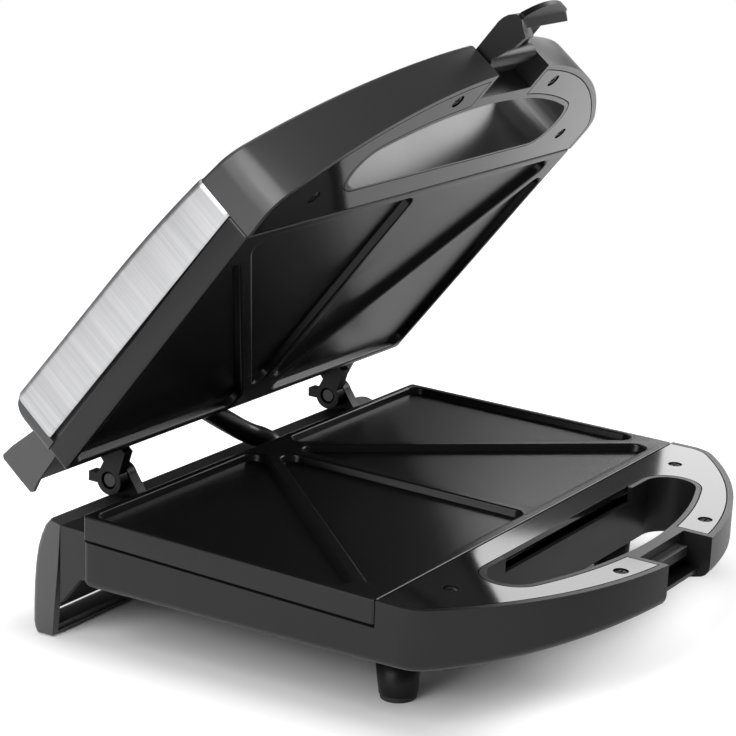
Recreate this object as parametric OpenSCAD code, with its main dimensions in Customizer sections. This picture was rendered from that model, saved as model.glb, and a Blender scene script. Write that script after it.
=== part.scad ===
// Sandwich toaster: two cooking plates in hinged shells that each end in a D-shaped handle.
// The lid rests part open, and the front latch stands open on the lid.
// Parts are drawn in the body's own frame: x across, y from the plates' front edge to the back,
// and z up from the plane where the two plates meet. stand_up() then tilts that frame a little
// forward and sets it on the table.

/* [Body] */
// Width across the shells
body_w = 230; // [220:2:244]
// Depth of the cooking plates
plate_d = 131; // [127:1:135]
// Reach of the handle in front of the plates
handle_reach = 65; // [63:1:68]
// Forward slope of the plates, in degrees
slope = 2.8; // [0:0.2:4]
// Height of the plates' meeting plane above the table, at the plates' front edge
rim_h = 49.4; // [47:0.2:54]
// Thickness of the plastic walls
wall = 2.2; // [1.8:0.1:2.4]

/* [Handle] */
// Radius of the handle's front edge, seen from above
front_r = 159; // [150:1:170]
// Radius that joins the front edge to the sides
corner_r = 16; // [12:1:20]
// Width of the handle's outer rim around its cover
rim_w = 2.4; // [2:0.1:3]
// Front edge of the D-shaped finger hole, ahead of the plates
hole_front = 47; // [45:1:48]
// Back edge of the finger hole, ahead of the plates
hole_back = 14; // [13:1:16]
// Radius of the finger hole's long front edge
hole_r = 178; // [170:1:190]
// Radius of the finger hole's two tips
hole_tip_r = 10.5; // [9:0.5:12]
// Half width of the latch notch
notch_w = 18.3; // [17:0.1:20]

/* [Plates] */
// Thickness of the cast plates
plate_t = 2; // [1.6:0.1:2.4]
// Height of the lower plate's skirt
lower_skirt = 9.3; // [8:0.1:9.6]
// Height of the upper plate's skirt
upper_skirt = 10.1; // [9:0.1:10.4]
// Depth of each pocket at its middle
pocket_depth = 9.5; // [7:0.5:10]
// Width of the ridges between pockets
ridge_w = 5.2; // [4:0.2:8]
// Gap between the two plates when the lid is closed
lid_gap = 0.4; // [0.3:0.1:0.8]

/* [Lid] */
// Angle of the lid at rest, from closed
lid_open = 51.4; // [0:0.2:96]
// Height of the lid's top above the meeting plane, at the back of the steel cover
lid_h = 33.8; // [32:0.2:36]
// Thickness of the steel cover
sheet_t = 0.9; // [0.6:0.1:1]

/* [Hinges] */
// Hinge axis behind the plates' front edge
hinge_y = 152; // [151:0.5:153]
// Hinge axis below the meeting plane
hinge_drop = 1.1; // [0.8:0.1:1.4]
// Radius of the hinge pins
pin_r = 2; // [1.6:0.1:2.4]

/* [Latch] */
// Latch pivot ahead of the plates' front edge
latch_y = 61.8; // [61.6:0.1:62]
// Latch pivot above the meeting plane
latch_z = 9.6; // [9.4:0.1:9.8]
// Radius of the latch pin
latch_pin_r = 1.1; // [0.9:0.1:1.2]

/* [Hidden] */
$fn = 48;

black = [0.15, 0.15, 0.16];
charcoal = [0.27, 0.27, 0.28];
coating = [0.12, 0.12, 0.12];
steel = [0.82, 0.83, 0.85];
zinc = [0.6, 0.6, 0.62];
rubber = [0.08, 0.08, 0.08];

half_w = body_w / 2;
// Middle of the footprint, so that the part stands over its origin
origin_y = 56.5;
hinge_z = -hinge_drop;
// Small overlap that lets one cut pass clean through another
eps = 0.05;

// Handle outline: a wide arc in front, joined to the straight sides by a smaller one
front_cy = front_r - handle_reach;
corner_x = half_w - corner_r;
corner_y = front_cy - sqrt(pow(front_r - corner_r, 2) - pow(corner_x, 2));
front_a = atan2(corner_x, front_cy - corner_y);
back_corner_r = 3.6;
plate_corner_r = 2.5;
// Finger hole: a wide arc, two round tips and a straight back
hole_cy = hole_r - hole_front;
tip_y = -hole_back - hole_tip_r;
tip_x = sqrt(pow(hole_r - hole_tip_r, 2) - pow(hole_cy - tip_y, 2));
tip_a = atan2(tip_x, hole_cy - tip_y);
hole_wall = 2;
// The hole's straight back wall steps back between its two ends
hole_step_x = 50;
hole_step_z = 6;
// Gap round each handle cover, seen as a thin dark line
cover_gap = 0.4;
cover_t = 2.4;
cover_back = -0.6;
notch_side = 2.2;
notch_back = -52;
notch_floor = -12.9;
notch_floor_t = 1.5;
notch_floor_front = -59.6;

// Heights in the body, from the meeting plane
tub_top = -10.2;
deck_z = -9.6;
box_half_w = 108;
box_back = 148.2;
tub_back = plate_d + 1;
shield_z = -18.9;
shield_t = 0.5;
element_r = 3.2;
lid_base = 10.9;

// Screw places in each handle cover, and the posts under each plate
cover_screws = [[88.5, -14], [35, -53]];
cover_post_r = 4;
plate_posts = [[0, 14], [0, 104], [84, 34], [-84, 34]];
plate_post_r = 5.5;
plate_screw_z = 24.2;
pilot_r = 1.3;
foot_at = [82.5, 11.5];
lamp_at = [11, -6];
thermostat_at = [0, 121];
lid_back = 133.3;
arm_seat_z = 14;

function arc(c, r, a0, a1, n, first = 0) =
    [for (i = [first:n]) c + r * [cos(a0 + (a1 - a0) * i / n), sin(a0 + (a1 - a0) * i / n)]];

// Outline of a shell seen from above, drawn in from its outer edge by an inset
function shell_outline(inset, back) = concat(
    arc([0, front_cy], front_r - inset, -90 - front_a, -90 + front_a, 26),
    arc([corner_x, corner_y], corner_r - inset, -90 + front_a, 0, 5, 1),
    arc([half_w - back_corner_r, back - back_corner_r], back_corner_r - inset, 0, 90, 4),
    arc([back_corner_r - half_w, back - back_corner_r], back_corner_r - inset, 90, 180, 4),
    arc([-corner_x, corner_y], corner_r - inset, 180, 270 - front_a, 5));

// Outline of the finger hole, grown outward by a margin
function hole_outline(grow) = concat(
    arc([0, hole_cy], hole_r + grow, -90 - tip_a, -90 + tip_a, 20),
    arc([tip_x, tip_y], hole_tip_r + grow, -90 + tip_a, 90, 9, 1),
    arc([-tip_x, tip_y], hole_tip_r + grow, 90, 270 - tip_a, 9));

// Underside of the lower shell and top of the lid, both as heights along y
function under_z(y) = -23.5 - 0.0367 * (y + 15) + (y < -15 ? pow(y + 15, 2) / 400 : 0);
function lid_z(y) = lid_h - 0.03 * (126 - y) - (y < 60 ? pow(60 - y, 2) / 1120 : 0);

// A closed solid through rings of points, from the lowest ring to the highest
module loft(rings) {
    n = len(rings[0]);
    m = len(rings);
    points = [for (ring = rings) each ring];
    sides = [for (k = [0:m - 2]) for (i = [0:n - 1])
             [k * n + i, (k + 1) * n + i, (k + 1) * n + (i + 1) % n, k * n + (i + 1) % n]];
    floor_face = [for (i = [0:n - 1]) i];
    roof_face = [for (i = [n - 1:-1:0]) (m - 1) * n + i];
    polyhedron(points, concat([floor_face], sides, [roof_face]), convexity = 4);
}

function unit(v) = v / norm(v);
function tangent(path, i) = unit(path[min(i + 1, len(path) - 1)] - path[max(i - 1, 0)]);
function tube_ring(p, t, up, r, n) =
    let (u = unit(cross(up, t)), v = cross(t, u))
    [for (k = [0:n - 1]) p + r * (cos(360 * k / n) * u + sin(360 * k / n) * v)];

// A round tube along a path, with its rings kept upright to one direction
module tube(path, r, up, sides = 10)
    loft([for (i = [0:len(path) - 1]) tube_ring(path[i], tangent(path, i), up, r, sides)]);

// A side view, given as [y, z] points, drawn out along x
module along_x(x0, x1, side)
    translate([x0, 0, 0]) rotate([90, 0, 90]) linear_extrude(x1 - x0) polygon(side);

module block(low, high) translate(low) cube(high - low);

module rod_x(x0, x1, y, z, r) translate([x0, y, z]) rotate([0, 90, 0]) cylinder(h = x1 - x0, r = r);

module both_sides() {
    children();
    mirror([1, 0, 0]) children();
}

module at_each(places) for (p = places) translate([p[0], p[1], 0]) children();

module stand_up() translate([0, -origin_y, rim_h]) rotate([slope, 0, 0]) children();

// The inverse of stand_up, for what is drawn level with the table
module level() rotate([-slope, 0, 0]) translate([0, origin_y, -rim_h]) children();

module open_lid()
    translate([0, hinge_y, hinge_z]) rotate([-lid_open, 0, 0]) translate([0, -hinge_y, -hinge_z]) children();

module finger_hole(grow, low, high)
    translate([0, 0, low]) linear_extrude(high - low) polygon(hole_outline(grow));

// Lower shell

function tub_side(lift, top) = concat(
    [for (i = [0:13]) let (y = -67 + 4 * i) [y, under_z(y) + lift]],
    [for (i = [0:4]) [tub_back - 5 + (5 - lift) * sin(22.5 * i),
                      under_z(tub_back) + 5 - (5 - lift) * cos(22.5 * i)]],
    [[tub_back - lift, top]]);

module tub_outer() intersection() {
    translate([0, 0, -40]) linear_extrude(40) polygon(shell_outline(0, tub_back));
    along_x(-half_w - 1, half_w + 1, concat(tub_side(0, tub_top), [[0, tub_top], [0, 0.5], [-67, 0.5]]));
}

module tub_inner() intersection() {
    translate([0, 0, -40]) linear_extrude(41) polygon(shell_outline(rim_w, tub_back));
    along_x(-half_w, half_w, concat(tub_side(wall, 1), [[-67, 1]]));
}

module rear_box() difference() {
    along_x(-box_half_w, box_half_w, [[131, deck_z], [box_back, deck_z], [box_back, -41.5],
                                      [138.4, -29.5], [131, -28.5]]);
    block([-box_half_w + 3, 128, -45], [box_half_w - 3, box_back + 1, -28.4]);
    block([-box_half_w + wall, 128, -26.2], [box_half_w - wall, box_back - wall, deck_z - wall]);
}

// Solid stock round the latch notch
module notch_stock(low, high)
    block([-notch_w - notch_side, -70, low], [notch_w + notch_side, -hole_front + 2, high]);

module lower_housing() color(charcoal) stand_up() difference() {
    union() {
        difference() {
            tub_outer();
            tub_inner();
        }
        rear_box();
        // Wall round the finger hole, and stock round the latch notch
        intersection() {
            union() {
                finger_hole(hole_wall, -40, 1);
                notch_stock(-40, 1);
            }
            tub_outer();
        }
        // Posts for the handle cover and for the cooking plate
        intersection() {
            union() {
                both_sides() at_each(cover_screws)
                    translate([0, 0, -40]) cylinder(h = 40 - cover_t, r = cover_post_r);
                at_each(plate_posts) translate([0, 0, -40]) cylinder(h = 40 + shield_z, r = plate_post_r);
            }
            tub_outer();
        }
    }
    finger_hole(0, -41, 2);
    // Below the cover the hole's back wall is open between its two ends
    block([-hole_step_x, -hole_back - 0.5, -hole_step_z], [hole_step_x, 0.5 - hole_back + hole_wall, 2]);
    // Latch notch, with a thin floor lip
    block([-notch_w, -70, notch_floor], [notch_w, notch_back, 2]);
    block([-notch_w, -70, -40], [notch_w, notch_floor_front, 2]);
    block([-notch_w, -70, -40], [notch_w, notch_back - 1, notch_floor - notch_floor_t]);
    both_sides() at_each(cover_screws) translate([0, 0, -14]) cylinder(h = 20, r = pilot_r);
    at_each(plate_posts) {
        translate([0, 0, -40]) cylinder(h = 30, r = 1.6);
        translate([0, 0, -40]) cylinder(h = 40 - plate_screw_z, r = 3.6);
    }
    // Way for the wires from the tub to the rear box
    block([-70, 127, -25], [70, 134, -13.5]);
    // Vents in the floor
    for (i = [-4:4], y = [46, 84]) if (abs(i) > 0)
        block([18 * i - 1.5, y, -40], [18 * i + 1.5, y + 24, -20]);
    translate([sleeve_path[0][0], sleeve_path[0][1], -20]) cylinder(h = 20, r = 5.2);
    both_sides() translate([stand_screw[0], stand_screw[1], -40]) cylinder(h = 20, r = pilot_r);
}

module handle_cover_shape() difference() {
    linear_extrude(cover_t) difference() {
        intersection() {
            polygon(shell_outline(rim_w + cover_gap, tub_back));
            translate([-half_w, -70]) square([body_w, 70 + cover_back]);
        }
        polygon(hole_outline(hole_wall + cover_gap));
        translate([-notch_w - notch_side - cover_gap, -70])
            square([2 * (notch_w + notch_side + cover_gap), 70 - hole_front + 2]);
    }
    both_sides() at_each(cover_screws) {
        translate([0, 0, -1]) cylinder(h = 4, r = 1.5);
        translate([0, 0, cover_t - 1.5]) cylinder(h = 2, r = 3);
    }
}

module cover_screw_set() both_sides() at_each(cover_screws) {
    translate([0, 0, cover_t - 1.5]) cylinder(h = 1.1, r = 2.7);
    translate([0, 0, cover_t - 9.5]) cylinder(h = 8, r = pilot_r);
}

module lower_handle_cover() color(black) stand_up() translate([0, 0, -cover_t]) handle_cover_shape();

module lower_cover_screws() color(zinc) stand_up() translate([0, 0, -cover_t]) cover_screw_set();

module latch_catch() color(black) stand_up()
    block([-12.9, -56.6, -7.5], [12.9, notch_back, -3.5]);

// Cooking plates. A pocket is a triangle with round corners: a steep wall, then three gentle
// slopes that meet at its middle.

pocket_wall = 4.9;
pocket_x = half_w - 4.5;
pocket_front = 4.4;
pocket_back = plate_d - 4.5;
cell_a = atan2(pocket_back - pocket_front, pocket_x - ridge_w / 2);
ridge_y = ridge_w / 2 / cos(cell_a);
ridge_x = ridge_w / 2 / sin(cell_a);
outer_pocket = [[-pocket_x, pocket_front + ridge_y], [-ridge_w / 2 - ridge_x, pocket_back],
                [-pocket_x, pocket_back]];
inner_pocket = [[-pocket_x + ridge_x, pocket_front], [-ridge_w / 2, pocket_front],
                [-ridge_w / 2, pocket_back - ridge_y]];

function side_len(t, i) = norm(t[(i + 1) % 3] - t[i]);
function incentre(t) = let (a = side_len(t, 1), b = side_len(t, 2), c = side_len(t, 0))
    (a * t[0] + b * t[1] + c * t[2]) / (a + b + c);
function area(t) = abs(cross(t[1] - t[0], t[2] - t[0])) / 2;
function inradius(t) = 2 * area(t) / (side_len(t, 0) + side_len(t, 1) + side_len(t, 2));

// One ring of a pocket at a height: the triangle drawn in by an inset, with corners of radius r
function pocket_ring(t, inset, r, z) =
    let (m = incentre(t), scale = 1 - (inset + r) / inradius(t))
    [for (i = [0:2])
        let (c = m + scale * (t[i] - m), e0 = t[i] - t[(i + 2) % 3], e1 = t[(i + 1) % 3] - t[i],
             a0 = atan2(e0[1], e0[0]) - 90, turn = atan2(cross(e0, e1), e0 * e1))
        for (k = [0:5]) [c[0] + r * cos(a0 + turn * k / 5), c[1] + r * sin(a0 + turn * k / 5), z]];

module pocket(t) loft([
    pocket_ring(t, inradius(t) - 2, 1.4, -pocket_depth),
    pocket_ring(t, 1.6, 4, -pocket_wall),
    pocket_ring(t, 0.3, 5, -0.6),
    pocket_ring(t, 0, 5.2, 0.5)]);

module pocket_under(t) loft([
    pocket_ring(t, inradius(t) - 5, 3, -pocket_depth - plate_t),
    pocket_ring(t, 0.2, 4, -pocket_wall - plate_t * 0.8),
    pocket_ring(t, -1.4, 5.6, -0.6)]);

plate_x = half_w - 0.8;
function plate_outline(inset) = concat(
    arc([plate_x - 1.5, 1.9], 1.5 - min(inset, 1.2), -90, 0, 2),
    arc([plate_x - plate_corner_r, plate_d - plate_corner_r], plate_corner_r - inset, 0, 90, 5),
    arc([-plate_x + plate_corner_r, plate_d - plate_corner_r], plate_corner_r - inset, 90, 180, 5),
    arc([-plate_x + 1.5, 1.9], 1.5 - min(inset, 1.2), 180, 270, 2));

function inner_outline() = concat(
    [[plate_x - plate_t, 0.4 + plate_t]],
    arc([plate_x - plate_corner_r, plate_d - plate_corner_r], plate_corner_r - plate_t, 0, 90, 5),
    arc([-plate_x + plate_corner_r, plate_d - plate_corner_r], plate_corner_r - plate_t, 90, 180, 5),
    [[-plate_x + plate_t, 0.4 + plate_t]]);

// A cooking plate with its face up at height zero
module cooking_plate(skirt) difference() {
    union() {
        translate([0, 0, -plate_t]) linear_extrude(plate_t) polygon(plate_outline(0));
        translate([0, 0, -skirt]) linear_extrude(skirt) difference() {
            polygon(plate_outline(0));
            polygon(inner_outline());
        }
        both_sides() {
            pocket_under(outer_pocket);
            pocket_under(inner_pocket);
            // Seats for the heating element
            for (t = [outer_pocket, inner_pocket])
                translate([incentre(t)[0], incentre(t)[1], -pocket_depth - plate_t]) cylinder(h = plate_t, r = 7);
        }
        at_each(plate_posts)
            translate([0, 0, shield_z + shield_t]) cylinder(h = -shield_z - shield_t - 0.5, r = 4);
        translate([thermostat_at[0], thermostat_at[1], -6.5]) cylinder(h = 6, r = 6.5);
    }
    both_sides() {
        pocket(outer_pocket);
        pocket(inner_pocket);
    }
    at_each(plate_posts) translate([0, 0, shield_z - 1]) cylinder(h = 11, r = 1.5);
}

module lower_cooking_plate() color(coating) stand_up() cooking_plate(lower_skirt);

// The heating element bends round four seats, with its two ends turned to the back
element_z = -pocket_depth - plate_t - element_r;
seat_out = incentre(outer_pocket);
seat_in = incentre(inner_pocket);
element_half = concat(
    [[-86, 122, element_z], [-85, 112, element_z], [-82, 102, element_z],
     [seat_out[0], seat_out[1] - 2, element_z]],
    [for (i = [1:3]) let (k = i / 4) [seat_out[0] + k * (seat_in[0] - 6 - seat_out[0]),
                                      seat_out[1] + k * (seat_in[1] + 6 - seat_out[1]), element_z]],
    [[seat_in[0] - 4, seat_in[1] + 3, element_z], [seat_in[0] + 2, seat_in[1], element_z],
     [seat_in[0] + 10, seat_in[1] - 1, element_z]]);
element_path = concat(element_half, [for (i = [len(element_half) - 1:-1:0])
    [-element_half[i][0], element_half[i][1], element_z]]);

module heating_element() tube(element_path, element_r, [0, 0, 1]);

module lower_heating_element() color(zinc) stand_up() heating_element();

module heat_shield() difference() {
    block([-104, 8, shield_z], [104, 124, shield_z + shield_t]);
    at_each(plate_posts) translate([0, 0, shield_z - 1]) cylinder(h = 3, r = 1.8);
    translate([thermostat_at[0], thermostat_at[1], shield_z - 1]) cylinder(h = 3, r = 10);
}

module lower_heat_shield() color(steel) stand_up() heat_shield();

module lower_plate_screws() color(zinc) stand_up() at_each(plate_posts) {
    translate([0, 0, -plate_screw_z - 1.4]) cylinder(h = 1.4, r = 3);
    translate([0, 0, -plate_screw_z]) cylinder(h = 13, r = 1.5);
}

module thermostat() color([0.75, 0.7, 0.6]) stand_up() {
    translate([thermostat_at[0], thermostat_at[1], -14.5]) cylinder(h = 8, r = 8);
    both_sides() block([3, 117, -20], [3.8, 123, -14.5]);
}

module thermal_fuse() color([0.85, 0.85, 0.8]) stand_up() rod_x(-54, -26, 140, -22, 3);

module terminal_block() color([0.9, 0.9, 0.86]) stand_up() difference() {
    block([46, 134, -26.2], [86, 145, -15]);
    for (i = [0:2]) translate([53 + 13 * i, 139.5, -22]) cylinder(h = 10, r = 2.2);
}

// Feet and stand

module front_foot() color(black) difference() {
    stand_up() level() translate([foot_at[0], foot_at[1] - origin_y, 2]) cylinder(h = 26, r1 = 7.2, r2 = 9.6);
    stand_up() tub_outer();
}

module front_foot_left() mirror([1, 0, 0]) front_foot();

module front_foot_right() front_foot();

module front_foot_pads() color(rubber) both_sides()
    translate([foot_at[0], foot_at[1] - origin_y, 0]) cylinder(h = 2, r = 6.8);

stand_side = [[148.4, deck_z], [155, -8.9], [157.6, -11.8], [159.7, -16.3], [161.3, -21.5], [162.4, -28],
              [163.1, -36], [163.4, -44], [163.4, -52.5], [162.9, -55], [161.6, -57.4], [160, -60],
              [152.5, -60], [151, -42], [149.5, -26]];
stand_pad = [30, 6];
stand_bay = 53;
stand_screw = [96, 141];

module rear_stand() color(charcoal) {
    difference() {
        stand_up() union() {
            difference() {
                along_x(-box_half_w, box_half_w, stand_side);
                // Bays between the ribs, open to the front
                for (i = [-2:1]) {
                    block([stand_bay * i + 1.4, 147, -55], [stand_bay * (i + 1) - 1.4, 153.2, -12.4]);
                    block([stand_bay * i + 1.4, 150, -53], [stand_bay * (i + 1) - 1.4, 160.4, -20]);
                }
            }
            // Tabs under the rear box, for the stand's screws
            both_sides() block([86, 135, -30.8], [104, 161, -28.5]);
        }
        stand_up() {
            both_sides() translate([stand_screw[0], stand_screw[1], -32]) cylinder(h = 5, r = pilot_r);
            translate([78, 170, -42]) rotate([90, 0, 0]) cylinder(h = 15, r = 6);
        }
        translate([-150, 60, -20]) cube([300, 80, 20.8]);
        both_sides() translate([70, 156 - origin_y, -1]) cube([stand_pad[0], stand_pad[1], 3]);
    }
}

module rear_stand_pads() color(rubber) both_sides()
    translate([70.2, 156.2 - origin_y, 0]) cube([stand_pad[0] - 0.4, stand_pad[1] - 0.4, 2]);

module stand_screws() color(zinc) stand_up() both_sides() translate([stand_screw[0], stand_screw[1], -32.4]) {
    cylinder(h = 1.6, r = 3);
    translate([0, 0, 1.6]) cylinder(h = 10.4, r = pilot_r);
}

module cord_bush() color(rubber) stand_up() translate([78, 0, -42]) rotate([-90, 0, 0]) difference() {
    union() {
        translate([0, 0, 158.6]) cylinder(h = 6, r = 6);
        translate([0, 0, 163.6]) cylinder(h = 2.4, r = 8);
    }
    translate([0, 0, 158]) cylinder(h = 9, r = 3.6);
}

// Hinges: at each place an arm hangs from the lid, with a lug on the deck just to its right.
// Each value is the left edge of one arm.

hinge_at = [-75.2, 76];
arm_w = 5;
lug_gap = 0.6;
lug_w = 5;
knuckle_r = 6;
arm_bore_r = 3.6;
arm_side = [[146.6, hinge_z - 2], [137, 0.6], [137, arm_seat_z], [146.4, arm_seat_z], [148, 5.6],
            [hinge_y, hinge_z + knuckle_r - 0.1], [hinge_y + 2, hinge_z]];

module base_hinge(x) color(black) stand_up() translate([x + arm_w + lug_gap, 0, 0]) difference() {
    union() {
        rod_x(0, lug_w, hinge_y, hinge_z, knuckle_r);
        along_x(0, lug_w, [[139, deck_z], [147.9, deck_z], [157, deck_z + 1], [157.9, hinge_z],
                           [147, hinge_z + 3], [142, -5]]);
        block([-3.4, 134.5, deck_z], [lug_w + 3, 147.9, deck_z + 2]);
    }
    rod_x(-4, lug_w + 4, hinge_y, hinge_z, pin_r);
}

module base_hinge_left() base_hinge(hinge_at[0]);

module base_hinge_right() base_hinge(hinge_at[1]);

module hinge_pin(x) color(zinc) stand_up() translate([x, 0, 0]) union() {
    rod_x(2, arm_w + lug_gap + lug_w + 1.4, hinge_y, hinge_z, pin_r);
    rod_x(0.6, 2, hinge_y, hinge_z, 3);
}

module hinge_pin_left() hinge_pin(hinge_at[0]);

module hinge_pin_right() hinge_pin(hinge_at[1]);

module lid_hinge(x) color(black) stand_up() open_lid() translate([x, 0, 0]) difference() {
    union() {
        rod_x(0, arm_w, hinge_y, hinge_z, knuckle_r);
        along_x(0, arm_w, arm_side);
        // Nose on the far side of the knuckle
        translate([0, hinge_y, hinge_z]) rotate([51, 0, 0]) block([0, 4, -2], [arm_w, 10.2, 2]);
    }
    rod_x(-1, arm_w + 1, hinge_y, hinge_z, pin_r + 0.06);
    rod_x(-1, 2.4, hinge_y, hinge_z, arm_bore_r);
}

module lid_hinge_left() lid_hinge(hinge_at[0]);

module lid_hinge_right() lid_hinge(hinge_at[1]);

// Sleeve of the leads between the lid and the rear box
sleeve_path = [[20, 141, -15], [20, 141, -9], [19.2, 142.4, -6.4], [16.8, 145.2, -4.4], [13.4, 147.6, -2.8],
               [8.6, 149.4, 0], [2.6, 149.8, 3.6], [-3.4, 150, 7.2], [-8.4, 150.6, 10.4], [-13.2, 151.4, 13.6],
               [-17.6, 153.2, 16.2], [-19.6, 154.9, 17.9], [-20, 158, 20.4]];

module lead_sleeve() color(rubber) stand_up() tube(sleeve_path, 4.6, [0, 1, 0.3], 12);

// Lid shell

function lid_side(top_drop) = concat(
    [[-67, lid_gap], [0, lid_gap], [0, lid_base], [131.8, lid_base], [132.6, 15], [133.2, 21], [133.1, 25.4],
     [132.2, 28.6], [130.6, 31], [128.6, 32.5], [127, 33]],
    [for (i = [0:24]) let (y = 126.8 - i * 5.28) [y, lid_z(y) - top_drop]],
    [for (i = [0:13]) let (y = -0.01 - i * 5.15) [y, lid_z(y)]]);

module lid_outer() difference() {
    intersection() {
        linear_extrude(40) polygon(shell_outline(0, lid_back));
        along_x(-half_w - 1, half_w + 1, lid_side(sheet_t + 0.1));
    }
    // Step that the steel cover's sides lie in
    both_sides() block([half_w - sheet_t - 0.1, 0, lid_base - 1], [half_w + 2, 126.8, 45]);
}

module lid_inner() {
    intersection() {
        translate([0, 0, -1]) linear_extrude(41) polygon(shell_outline(rim_w, lid_back));
        along_x(-half_w, half_w, concat([[-67, -1], [1, -1]],
            [for (i = [0:13]) let (y = 1 - i * 5.2) [y, lid_z(y) - 2.4 - (y > 0 ? 1 : 0)]]));
    }
    intersection() {
        translate([0, 0, -1]) linear_extrude(41) polygon(shell_outline(sheet_t + 0.1 + wall, 131));
        along_x(-half_w, half_w, concat(
            [[0.5, lid_base - 1], [130.4, lid_base - 1], [130.4, 22], [129.6, 27], [126, 30]],
            [for (i = [0:20]) let (y = 122 - i * 6.075) [y, lid_z(y) - sheet_t - 0.1 - wall]]));
    }
}

// Hollow block behind the lid. Its two end plates reach a little lower than the rest.
block_top = [[158.3, 26], [157.3, 27.2], [150.6, 26.3], [139.3, 23.6], [131, 21.8]];
end_plate = 4;

module rear_block() difference() {
    union() {
        along_x(-box_half_w, box_half_w, concat(
            [[131, 14], [139, 13.5], [149, 11.6], [155.2, 11], [156.4, 12], [158.2, 14]], block_top));
        both_sides() along_x(box_half_w - end_plate, box_half_w,
                             concat([[131, 11.2], [137, 9.6], [151.6, 9], [157, 7.9], [158, 8.8]], block_top));
    }
    along_x(-box_half_w + wall, box_half_w - wall,
            [[134, 16.4], [156, 16.4], [156, 24.4], [150, 23.8], [134, 20]]);
    // Seats for the two hinge arms
    for (x = hinge_at) block([x - 0.4, 136.5, 5], [x + arm_w + 0.4, 147, arm_seat_z]);
}

module lid_housing() color(charcoal) stand_up() open_lid() difference() {
    union() {
        difference() {
            lid_outer();
            lid_inner();
        }
        rear_block();
        intersection() {
            union() {
                finger_hole(hole_wall, 0, 40);
                notch_stock(0, 40);
                both_sides() at_each(cover_screws)
                    translate([0, 0, lid_gap + cover_t]) cylinder(h = 40, r = cover_post_r);
                at_each(plate_posts) translate([0, 0, lid_gap - shield_z]) cylinder(h = 40, r = plate_post_r);
            }
            lid_outer();
        }
    }
    finger_hole(0, -1, 41);
    block([-hole_step_x, -hole_back - 0.5, -1], [hole_step_x, 1 - hole_back, 41]);
    // Latch notch, open through the top at its front
    block([-notch_w, -70, -1], [notch_w, notch_back, 10]);
    block([-notch_w, -70, -1], [notch_w, -57.6, 40]);
    rod_x(-notch_w - 2, notch_w + 2, -latch_y, latch_z, latch_pin_r);
    both_sides() at_each(cover_screws) translate([0, 0, -1]) cylinder(h = 14, r = pilot_r);
    at_each(plate_posts) {
        translate([0, 0, 10]) cylinder(h = 40, r = 1.6);
        translate([0, 0, plate_screw_z]) cylinder(h = 40, r = 3.6);
    }
    // Lamp holes in the strip ahead of the plates
    both_sides() translate([lamp_at[0], lamp_at[1], 10]) cylinder(h = 40, r = 3);
    // Way for the leads
    translate([-19.2, 140.2, 5]) cylinder(h = 13, r = 6.8);
    block([-30, 128, 17], [30, 136, 20]);
}

module lid_handle_cover() color(black) stand_up() open_lid()
    translate([0, 0, lid_gap + cover_t]) mirror([0, 0, 1]) handle_cover_shape();

module lid_cover_screws() color(zinc) stand_up() open_lid()
    translate([0, 0, lid_gap + cover_t]) mirror([0, 0, 1]) cover_screw_set();

function cover_side(drop) = [for (i = [0:24]) let (y = 126.6 - i * 5.266) [y, lid_z(y) - drop]];

module steel_cover() color(steel) stand_up() open_lid() difference() {
    along_x(-half_w, half_w, concat(cover_side(0), [[0.2, 10.8], [126.6, 13.3]]));
    along_x(-half_w + sheet_t, half_w - sheet_t,
        concat([for (i = [0:25]) let (y = 128 - i * 5.2) [y, lid_z(y) - sheet_t]], [[-3, 5], [128, 5]]));
}

module upper_cooking_plate() color(coating) stand_up() open_lid()
    translate([0, 0, lid_gap]) mirror([0, 0, 1]) cooking_plate(upper_skirt);

module upper_heating_element() color(zinc) stand_up() open_lid()
    translate([0, 0, lid_gap]) mirror([0, 0, 1]) heating_element();

module upper_heat_shield() color(steel) stand_up() open_lid()
    translate([0, 0, lid_gap]) mirror([0, 0, 1]) heat_shield();

module upper_plate_screws() color(zinc) stand_up() open_lid() at_each(plate_posts) {
    translate([0, 0, plate_screw_z]) cylinder(h = 1.4, r = 3);
    translate([0, 0, 11.5]) cylinder(h = plate_screw_z - 11.5, r = 1.5);
}

module lamp(x) translate([x, lamp_at[1], lid_z(lamp_at[1])]) {
    translate([0, 0, -6]) cylinder(h = 6.6, r = 2.9);
    translate([0, 0, -13]) cylinder(h = 7, r = 2.2);
}

module power_lamp() color("red") stand_up() open_lid() lamp(-lamp_at[0]);

module ready_lamp() color("green") stand_up() open_lid() lamp(lamp_at[0]);

// Latch, drawn open: a roof that curls down at its front, a deep cheek on its left with a hook
// at its foot, and a curved finger lip. It turns on the barrel behind the roof.

latch_half_w = 16.6;
cheek_t = 3;
hook_w = 3;
barrel_r = 3.7;
latch_outside = [[-latch_y, 14.4], [-77, 14.4], [-81, 13.4], [-83.8, 11.8], [-84.5, 8.5], [-82.3, 5.4]];
roof_side = concat(latch_outside, [[-80.8, 6.4], [-82.2, 8.8], [-81.8, 10.6], [-80, 11.5], [-76.8, 12.2],
                                   [-latch_y, 12.2]]);
cheek_side = concat(latch_outside, [[-80.6, 2.4], [-79.3, 2.7], [-74.6, 3.4], [-69.7, 5.7], [-64.5, 7.4],
                                    [-62.5, 7.2]]);
hook_side = [[-82.3, 5.6], [-80.6, 2.4], [-79.3, 2.7], [-80.1, 5.6]];
lip_side = [[-83.2, 7.9], [-92, 8.1], [-92, 9.9], [-83.2, 10.4]];
lip_half_w = 15.6;
lip_r = 30;

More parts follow.
